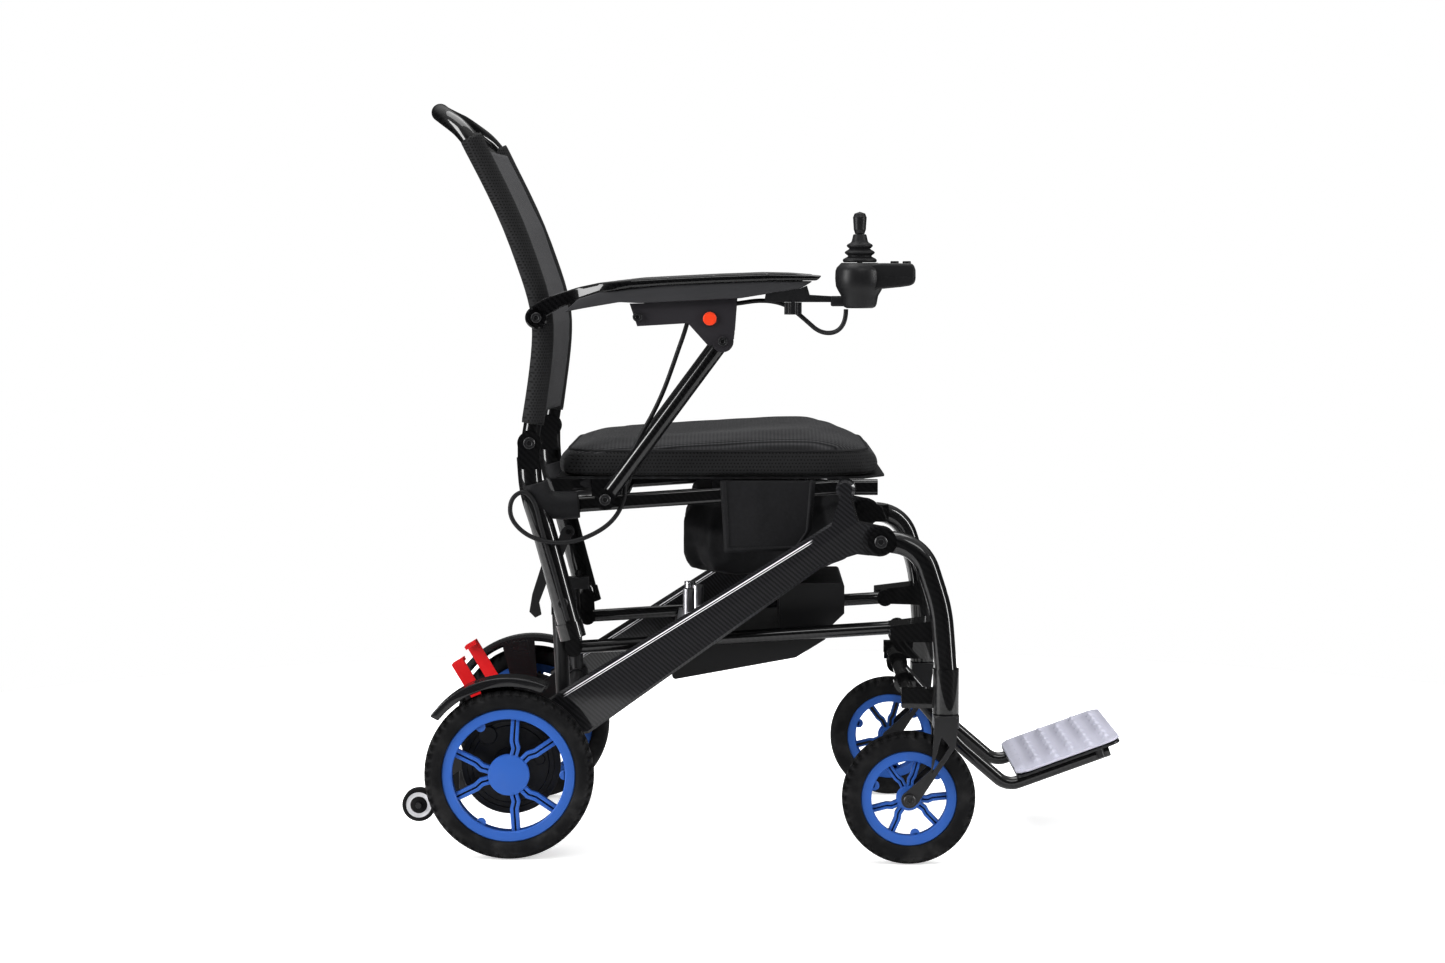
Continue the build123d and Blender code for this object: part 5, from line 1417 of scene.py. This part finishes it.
# ---------------------------------------------------------------------------------------------
# Back
# ---------------------------------------------------------------------------------------------
@dataclass
class SlingBack:
    """The stretched mesh back with a sewn sleeve round each tube, and a care tag at the top."""

    tube_y: float = 223.0
    tube_r: float = 12.0
    tube: tuple[tuple[float, float], ...] = ((584, -314.5), (620, -309.0), (660, -303.4), (690, -300.4),
                                             (716, -299.6), (740, -302.2), (770, -309.8), (800, -320.2),
                                             (852, -338.6), (900, -361.0), (940, -381.4), (969, -396.0))
    sag: float = 17.0
    low: float = 590.0
    high: float = 958.0
    thick: float = 2.0

    def build(self, bench: Bench) -> None:
        """Makes the mesh, the sleeves and the tag.

        Args:
            bench: The bench that makes and dresses the pieces.
        """
        self._mesh(bench)
        for side in Side:
            self._sleeve(bench, side)
        self._tag(bench)

    def _mesh(self, bench: Bench) -> None:
        """A sheet that bellies backwards between the tubes.

        Args:
            bench: The bench that makes and dresses the pieces.
        """
        bm = bmesh.new()

        def shape(u: float, w: float) -> Point:
            """The mesh's place for two shares from -1 to 1.

            Args:
                u: The share across.
                w: The share along.

            Returns:
                The place in millimetres.
            """
            z = self.low + (self.high - self.low) * (w + 1) / 2
            x = interpolate(self.tube, z) + self.tube_r + 1.0
            belly = (1 - abs(u) ** 2.4) * self.sag * (0.55 + 0.45 * math.cos(w * 1.3))
            ripple = 0.8 * noise.noise(Vector((u * 3, w * 4, 1)))
            return x - belly + ripple - 2.0, u * (self.tube_y - 3), z

        bench.grid(bm, 60, 70, shape)
        piece = bench.finish(bm, "back_mesh", "backrest", [MESH], "back_mesh", ["back_sling"], 80, tidy=False)
        bench.thicken(piece, self.thick)

    def _sleeve(self, bench: Bench, side: Side) -> None:
        """The sleeve round one tube, with a seam roll at both ends.

        Args:
            bench: The bench that makes and dresses the pieces.
            side: The chair's side.
        """
        bm = bmesh.new()
        rings = []
        for k, (z, x) in enumerate(self.tube):
            after = self.tube[min(k + 1, len(self.tube) - 1)]
            before = self.tube[max(k - 1, 0)]
            lean = Vector((after[1] - before[1], 0, after[0] - before[0])).normalized()
            wide = self.tube_r + (2.9 if k in (0, len(self.tube) - 1) else 2.1)
            turn = Vector((0, 0, 1)).rotation_difference(lean).to_matrix().to_4x4()
            made = bmesh.ops.create_circle(bm, cap_ends=False, segments=28, radius=wide * MM,
                                           matrix=Matrix.Translation(Vector((x, self.tube_y, z)) * MM) @ turn)
            rings.append(list({e for v in made["verts"] for e in v.link_edges}))
        for first, second in zip(rings, rings[1:]):
            bmesh.ops.bridge_loops(bm, edges=first + second)
        if side is Side.RIGHT:
            bench.mirror(bm)
        piece = bench.finish(bm, f"back_sleeve_{side.tag}", "backrest", [SLEEVE], "back_mesh", (), 60)
        bench.thicken(piece, 1.4)
        bench.subdivide(piece, 1)

    @staticmethod
    def _tag(bench: Bench) -> None:
        """The small white tag behind the top of the back.

        Args:
            bench: The bench that makes and dresses the pieces.
        """
        bm = bmesh.new()
        outline = [(-408, 985), (-398, 968), (-394, 958), (-399, 954), (-408, 964), (-416, 980)]
        bench.slab(bm, outline, -196, -174, 1.6, 2)
        bench.finish(bm, "back_tag", "backrest", [WHITE], "antitip_white", (), 40)


# ---------------------------------------------------------------------------------------------
# Arms, pod and foot
# ---------------------------------------------------------------------------------------------
@dataclass
class Armrests:
    """The armrests: a gloss top shell over a narrower matt underside."""

    y: float = 262.0
    width: float = 52.0
    neck_y: float = 253.0
    top: tuple[tuple[float, float], ...] = ((-318, 738), (-310, 745.5), (-296, 753.5), (-275, 761),
                                            (-250, 768.6), (-222, 774.5), (-180, 779.4), (-131, 782),
                                            (-70, 785), (0, 787.5), (40, 786.6), (72, 784))
    under: tuple[tuple[float, float], ...] = ((66, 777.5), (0, 777), (-70, 774.5), (-131, 771.5), (-180, 768),
                                              (-222, 761), (-250, 752), (-275, 741), (-296, 728), (-304, 716),
                                              (-314, 716), (-321, 726))
    belly: tuple[tuple[float, float], ...] = ((60, 776.5), (44, 767), (-36, 754), (-169, 747.6), (-195, 749),
                                              (-242, 741), (-268, 736), (-250, 753), (-222, 762), (-131, 772),
                                              (0, 777.5))

    def build(self, bench: Bench) -> None:
        """Makes both armrests.

        Args:
            bench: The bench that makes and dresses the pieces.
        """
        for side in Side:
            bm = bmesh.new()
            inner, outer = self.y - self.width / 2, self.y + self.width / 2
            bench.slab(bm, [*self.top, *self.under], inner, outer, 3.6, 3)
            self._narrow(bm, outer)
            first = len(bm.faces)
            bench.slab(bm, self.belly, inner + 5, outer - 5, 2.5, 2)
            bm.faces.ensure_lookup_table()
            for f in bm.faces[first:]:
                f.material_index = 1
            eye = [(5.2, inner), (13, inner), (15, inner + 2), (15, inner + 15), (13, inner + 17),
                   (5.2, inner + 17)]
            bench.turned(bm, eye, (-307, 0, 728), (0, 1, 0), 32, True)
            if side is Side.RIGHT:
                bench.mirror(bm)
            bench.finish(bm, f"arm_shell_{side.tag}", f"armrest_{side.tag}", [ARM_GLOSS, ARM_MATT],
                         "armrest_gloss", [f"armrest_{side.tag}"], 28)

    def _narrow(self, bm: bmesh.types.BMesh, outer: float) -> None:
        """Draws the outboard side in towards the rear, as the arm's neck does.

        Args:
            bm: The mesh being worked on.
            outer: The arm's outboard side.
        """
        for x in (-205, -224, -243, -262):
            geom = list(bm.verts) + list(bm.edges) + list(bm.faces)
            bmesh.ops.bisect_plane(bm, geom=geom, dist=1e-6, plane_co=(x * MM, 0, 0), plane_no=(1, 0, 0))
        inner = outer - self.width
        for v in bm.verts:
            x, y = v.co.x / MM, v.co.y / MM
            share = min(1.0, max(0.0, (-205 - x) / 57))
            share = share * share * (3 - 2 * share)
            width = self.width + (self.neck_y - inner - self.width) * share
            v.co.y = (inner + (y - inner) * width / self.width) * MM


@dataclass
class JoystickBoot:
    """The rubber bellows between the pod and the stick."""

    x: float = 122.0
    y: float = -275.0
    z: float = 801.3
    folds: tuple[tuple[float, float], ...] = ((20.4, 0), (22.0, 0.4), (22.8, 2.4), (22.0, 4.6), (19.0, 6.0),
                                              (15.6, 7.6), (15.2, 9.0), (18.6, 10.8), (20.3, 12.6),
                                              (19.4, 14.6), (14.6, 16.8), (13.8, 18.2), (16.6, 20.2),
                                              (17.6, 22.0), (16.6, 23.8), (12.0, 25.8), (10.8, 27.6),
                                              (10.2, 30.0), (9.2, 34.0), (8.8, 37.0), (6.6, 37.2),
                                              (5.6, 35.0))

    split: int = 11

    def build(self, bench: Bench) -> None:
        """Makes the boot in two lengths, a lower and an upper; neither is put on a body.

        Args:
            bench: The bench that makes and dresses the pieces.
        """
        waist = self.folds[self.split][1]
        lengths = (("boot_base", self.folds[:self.split + 1], "armrest_right", "gimbal", 0.0, waist,
                    ["joystick_boot"]),
                   ("boot_neck", self.folds[self.split:], "gimbal", "stick", waist, waist + 15.0, []))
        for name, folds, low, high, start, end, replaced in lengths:
            bm = bmesh.new()
            bench.turned(bm, folds, (self.x, self.y, self.z), (0, 0, 1), 40)
            piece = bench.finish(bm, name, "", [BOOT], "boot_rubber", replaced, 60)
            bench.subdivide(piece, 1)
            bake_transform(piece)


@dataclass
class JoystickPod:
    """The joystick's housing: a tapered barrel under the boot and a key bar ahead of it."""

    x: float = 122.0
    y: float = -275.0
    barrel: tuple[tuple[float, float], ...] = ((0, 741), (17, 741), (20.5, 742.6), (22.4, 746), (24.4, 757),
                                               (29, 765), (31.4, 770), (32.4, 780), (32.0, 790),
                                               (30.4, 794.4), (27.4, 797.4), (25.4, 799.6), (24.0, 800.8),
                                               (17.6, 800.8), (16.8, 800.0), (16.8, 772), (0, 772))
    bar: tuple[tuple[float, float], ...] = ((128, 763), (150, 766.5), (176, 769), (189, 771), (194, 775),
                                            (194, 795), (190, 800), (150, 800.4), (128, 799))

    def build(self, bench: Bench) -> None:
        """Makes the housing.

        Args:
            bench: The bench that makes and dresses the pieces.
        """
        bm = bmesh.new()
        bench.turned(bm, self.barrel, (self.x, self.y, 0), (0, 0, 1), 56)
        bench.slab(bm, self.bar, self.y - 24, self.y + 24, 5.0, 4)
        bench.slab(bm, [(84, 743.5), (112, 743.5), (112, 757), (84, 757)], self.y - 9, self.y + 9, 2.0, 2)
        bench.slab(bm, [(134, 781), (194.6, 781), (194.6, 782.2), (134, 782.2)], self.y - 24.5, self.y + 24.5)
        socket = [(4.6, 0), (7.6, 0), (8.4, -1), (8.4, -4), (4.6, -4), (4.6, 0)]
        bench.turned(bm, [(r, a + 1.4) for r, a in socket], (194, self.y, 785), (1, 0, 0), 24)
        bench.finish(bm, "pod_housing", "armrest_right", [PLASTIC], "satin_black_plastic",
                     ["joystick_pod"], 32)


@dataclass
class Footplate:
    """The white one-piece footplate: cross waves, small slots and rounded corners."""

    low: tuple[float, float] = (335.0, 76.0)
    tilt: float = 20.0
    start: float = 18.1
    length: float = 150.0
    half: float = 140.0
    lift: float = 15.6
    waves: int = 6

    def build(self, bench: Bench) -> None:
        """Makes the plate.

        Args:
            bench: The bench that makes and dresses the pieces.
        """
        bm = bmesh.new()

        def shape(u: float, w: float) -> Point:
            """The plate's own place for two shares from -1 to 1, before it is tilted.

            Args:
                u: The share across.
                w: The share along.

            Returns:
                The place in millimetres.
            """
            along = self.start + self.length * (u + 1) / 2
            across = self.half * w
            corner = max(0.0, abs(u) - 0.8) / 0.2 * max(0.0, abs(w) - 0.88) / 0.12
            along -= math.copysign(6.0 * corner, u)
            across -= math.copysign(6.0 * corner, w)
            fade = (1 - abs(u) ** 10) * (1 - abs(w) ** 12)
            wave = 1.9 * math.sin(math.tau * self.waves * (u + 1) / 2 - 0.6) * fade
            rim = 0.8 * (1 - fade)
            return along, across, self.lift + 1.4 + wave + rim

        faces = bench.grid(bm, 96, 112, shape)
        slots = []
        for f in faces:
            c = f.calc_center_median() / MM
            along, across = c.x - self.start, c.y
            row = along / self.length * self.waves
            column = (across + self.half) / (2 * self.half) * 7 + 0.5 * (int(row) % 2)
            if 0.28 < row % 1 < 0.44 and 0.34 < column % 1 < 0.66 and 0.06 < along / self.length < 0.94 \
                    and abs(across) < self.half - 14:
                slots.append(f)
        sunk = bmesh.ops.extrude_face_region(bm, geom=slots)["geom"]
        bmesh.ops.translate(bm, verts=[v for v in sunk if isinstance(v, bmesh.types.BMVert)],
                            vec=(0, 0, -1.8 * MM))
        # The sunk slots take the dark matt finish: painted shade standing for the dark seen in the slots.
        for f in (g for g in sunk if isinstance(g, bmesh.types.BMFace)):
            f.material_index = 1
        turn = Matrix.Rotation(-math.radians(self.tilt), 4, "Y")
        place = Matrix.Translation(Vector((self.low[0], 0, self.low[1])) * MM)
        bmesh.ops.transform(bm, matrix=place @ turn, verts=bm.verts)
        piece = bench.finish(bm, "foot_deck", "footrest", [FOOT, ARM_MATT], "foot_white", ["footplate"], 50,
                             tidy=False)
        made = piece.modifiers.new("thickness", "SOLIDIFY")
        made.thickness, made.offset = 3.2 * MM, -1.0


@dataclass
class ElbowWraps:
    """The fabric wraps over the elbows where the seat rails meet the rear posts."""

    y: float = 223.0
    route: tuple[Point, ...] = ((-252, 212, 476), (-276, 214, 474), (-296, 219, 476), (-309, 223, 489),
                                (-313, 223, 506))
    radius: float = 18.2

    def build(self, bench: Bench) -> None:
        """Makes both wraps.

        Args:
            bench: The bench that makes and dresses the pieces.
        """
        for side in Side:
            bm = bmesh.new()
            rings = []
            for k, spot in enumerate(self.route):
                ahead = Vector(self.route[min(k + 1, len(self.route) - 1)])
                lean = (ahead - Vector(self.route[max(k - 1, 0)])).normalized()
                turn = Vector((0, 0, 1)).rotation_difference(lean).to_matrix().to_4x4()
                wide = self.radius + 0.9 * (k % 2)
                made = bmesh.ops.create_circle(bm, cap_ends=False, segments=24, radius=wide * MM,
                                               matrix=Matrix.Translation(Vector(spot) * MM) @ turn)
                rings.append(list({e for v in made["verts"] for e in v.link_edges}))
            for first, second in zip(rings, rings[1:]):
                bmesh.ops.bridge_loops(bm, edges=first + second)
            for v in bm.verts:
                v.co += v.co.normalized() * 0.9 * MM * noise.noise(v.co * 60)
            if side is Side.RIGHT:
                bench.mirror(bm)
            piece = bench.finish(bm, f"elbow_wrap_{side.tag}", "seat_frame", [NYLON], "bag_nylon", sharp=70)
            bench.thicken(piece, 1.4)
            bench.subdivide(piece, 1)


@dataclass
class JoystickCable:
    """The joystick's cable in its three lengths, along the arm, the strut and the rear post."""

    radius: float = 3.0
    arm: tuple[Point, ...] = ((104, -275, 739.6), (104, -275, 724), (92, -268, 708), (70, -258, 708),
                              (50, -250, 726), (26, -247, 746), (-6, -246, 752), (-44, -246, 746),
                              (-82, -246, 743), (-104, -247, 728))
    strut: tuple[Point, ...] = ((-105.5, -246.5, 723.5), (-110, -244, 708), (-118, -240, 686),
                                (-127, -236.3, 660), (-138, -235, 630), (-152, -234.8, 600),
                                (-168, -234.6, 572), (-182, -235, 544), (-190, -235.5, 516),
                                (-190, -241.8, 490.9))
    loop: tuple[Point, ...] = ((-190, -242, 490), (-194, -244.5, 474), (-210, -245.5, 452), (-236, -246, 436),
                               (-264, -246, 427), (-294, -246, 427), (-324, -246, 438), (-344, -245, 460),
                               (-343, -244, 486), (-325, -243.5, 498), (-310, -244, 482), (-303, -244, 450),
                               (-294.5, -243, 420), (-284.5, -242.5, 386), (-275, -243.5, 350),
                               (-266.5, -245, 322))

    def build(self, bench: Bench) -> None:
        """Args:
            bench: The bench that makes and dresses the pieces.
        """
        parts = (("arm_cable", "armrest_right", self.arm, "cable_arm", 0.250),
                 ("strut_cable", "strut_right", self.strut, "cable_strut", 0.247),
                 ("loop_cable", "seat_frame", self.loop, "cable_loop", 0.395))
        for name, body, route, node, length in parts:
            curve = bpy.data.curves.new(name, "CURVE")
            curve.dimensions = "3D"
            curve.bevel_depth, curve.bevel_resolution = self.radius * MM, 5
            curve.resolution_u = 10
            curve.use_fill_caps = True
            line = curve.splines.new("NURBS")
            line.points.add(len(route) - 1)
            for spot, place in zip(line.points, route):
                spot.co = (*(c * MM for c in place), 1.0)
            line.order_u = 3
            line.use_endpoint_u = True
            piece = bpy.data.objects.new(name, curve)
            bpy.context.scene.collection.objects.link(piece)
            bench.dress(piece, body, [CABLE], [node])


# ---------------------------------------------------------------------------------------------
# Studio
# ---------------------------------------------------------------------------------------------
@dataclass
class Studio:
    """The pale floor, the soft lights and the camera."""

    eye: Point = (-0.032, -4.375, 0.79785)
    lens: float = 77.18
    yaw: float = 0.3791
    pitch: float = 3.9975
    gamma: float = 0.85
    floor_radius: float = 1.9
    floor_glow: float = 0.55
    horizon: float = 0.03
    zenith: float = 0.8

    def build(self) -> None:
        """Sets up everything round the chair."""
        self._camera()
        self._floor()
        self._lights()
        self._surround()
        bpy.context.scene.view_settings.view_transform = "Standard"
        bpy.context.scene.view_settings.gamma = self.gamma

    def _camera(self) -> None:
        """A level, slightly high side view."""
        data = bpy.data.cameras.new("side_view")
        data.lens, data.sensor_width = self.lens, 36.0
        camera = bpy.data.objects.new("side_view", data)
        bpy.context.scene.collection.objects.link(camera)
        a, e = math.radians(self.yaw), math.radians(self.pitch)
        ahead = Vector((-math.sin(a) * math.cos(e), math.cos(a) * math.cos(e), -math.sin(e)))
        camera.location = self.eye
        camera.rotation_mode = "QUATERNION"
        camera.rotation_quaternion = ahead.to_track_quat("-Z", "Y")
        bpy.context.scene.camera = camera

    def _floor(self) -> None:
        """A pale round floor under the chair, lost in the white surround."""
        bm = bmesh.new()
        bmesh.ops.create_circle(bm, cap_ends=True, segments=96, radius=self.floor_radius,
                                matrix=Matrix.Translation((0.0, 0.1, -0.0004)))
        mesh = bpy.data.meshes.new("floor")
        bm.to_mesh(mesh)
        bm.free()
        floor = bpy.data.objects.new("floor", mesh)
        bpy.context.scene.collection.objects.link(floor)
        material = bpy.data.materials.new("floor_paper")
        material.use_nodes = True
        g = Graph(material.node_tree)
        shader = material.node_tree.nodes["Principled BSDF"]
        paper = g.noise(g.place(), 3.0, 2.0)
        g.feed(shader.inputs["Base Color"], g.blend(paper, (0.93, 0.93, 0.93, 1), (0.97, 0.97, 0.97, 1)))
        shader.inputs["Roughness"].default_value = 0.7
        shader.inputs["Specular IOR Level"].default_value = 0.1
        shader.inputs["Emission Strength"].default_value = 1.0
        seen = g.node("ShaderNodeLightPath").outputs["Is Camera Ray"]
        glow = (self.floor_glow, self.floor_glow, self.floor_glow, 1.0)
        g.feed(shader.inputs["Emission Color"], g.blend(seen, (0.0, 0.0, 0.0, 1.0), glow))
        mesh.materials.append(material)
        mesh.polygons.foreach_set("use_smooth", [True] * len(mesh.polygons))

    @staticmethod
    def _lights() -> None:
        """Large soft boxes above and beside the chair, and a bright surround."""
        boxes = (("key", (0.7, -3.2, 3.2), (0.0, 0.0, 0.5), 2.4, 1.0, 38.0),
                 ("top", (-0.3, 0.3, 3.4), (0.0, 0.0, 0.4), 3.4, 1.8, 70.0),
                 ("left", (-3.4, -1.6, 1.3), (0.0, 0.0, 0.6), 1.3, 2.8, 150.0),
                 ("right", (3.4, -1.4, 1.4), (0.0, 0.0, 0.6), 0.6, 2.6, 85.0))
        for name, place, target, width, height, power in boxes:
            data = bpy.data.lights.new(name, "AREA")
            data.shape, data.size, data.size_y, data.energy = "RECTANGLE", width, height, power
            lamp = bpy.data.objects.new(name, data)
            bpy.context.scene.collection.objects.link(lamp)
            lamp.location = place
            lamp.rotation_mode = "QUATERNION"
            lamp.rotation_quaternion = (Vector(target) - Vector(place)).to_track_quat("-Z", "Y")

    def _surround(self) -> None:
        """White to the eye; for reflections, bright overhead and dim at the horizon."""
        world = bpy.data.worlds.new("surround")
        world.use_nodes = True
        g = Graph(world.node_tree)
        height = g.axes(g.node("ShaderNodeTexCoord").outputs["Generated"])[2]
        glow = g.math("ADD", self.horizon, g.math("MULTIPLY", g.band(height, 0.15, 0.95), self.zenith))
        seen = g.node("ShaderNodeLightPath").outputs["Is Camera Ray"]
        backdrop = world.node_tree.nodes["Background"]
        backdrop.inputs[0].default_value = (1.0, 1.0, 1.0, 1.0)
        g.feed(backdrop.inputs[1], g.math("MAXIMUM", glow, g.math("MULTIPLY", seen, 1.0)))
        bpy.context.scene.world = world


def dress_nodes(frame: dict, paint: Paintshop) -> None:
    """Gives every CAD node that still shows the finish of its slot.

    Args:
        frame: What the loader returned.
        paint: The paintshop.
    """
    special = {"fenders": FENDER}
    for row in frame["record"]["subparts"]:
        node = frame["nodes"][row["node"]]
        finish = special.get(row["node"], SLOT_FINISH[row["material_slot"]])
        node.data.materials.clear()
        node.data.materials.append(paint.get(finish))


def main() -> None:
    """Builds the looks in order."""
    logging.basicConfig(level=logging.INFO, format="%(name)s: %(message)s")
    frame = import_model()
    Studio().build()
    paint = Paintshop()
    bench = Bench(paint)
    JoystickCable().build(bench)
    drive = Wheel(kind="drive", x=-346.6, z=114.3, y=241.0, outer=114.3, rim=90.0, rim_in=78.0, hub=28.0,
                  tyre_w=44.0, rim_w=34.0, first=60.0, spoke_w=11.5, bore=6.2, lugs=56, capped=True)
    caster = Wheel(kind="caster", x=189.4, z=89.0, y=275.0, outer=89.0, rim=64.0, rim_in=52.0, hub=17.0,
                   tyre_w=36.0, rim_w=26.0, first=100.0, spoke_w=9.0, bore=5.2, lugs=46, capped=False)
    for side in Side:
        drive.build(bench, side)
        caster.build(bench, side)
    Motors().build(bench)
    AntiTipWheels().build(bench)
    FenderLips().build(bench)
    Bolts().build(bench)
    SeatCushion().build(bench)
    UnderSeatBag().build(bench)
    SlingBack().build(bench)
    Armrests().build(bench)
    JoystickPod().build(bench)
    JoystickBoot().build(bench)
    Footplate().build(bench)
    ElbowWraps().build(bench)
    dress_nodes(frame, paint)
    bpy.context.view_layer.update()


if __name__ == "__main__":
    main()
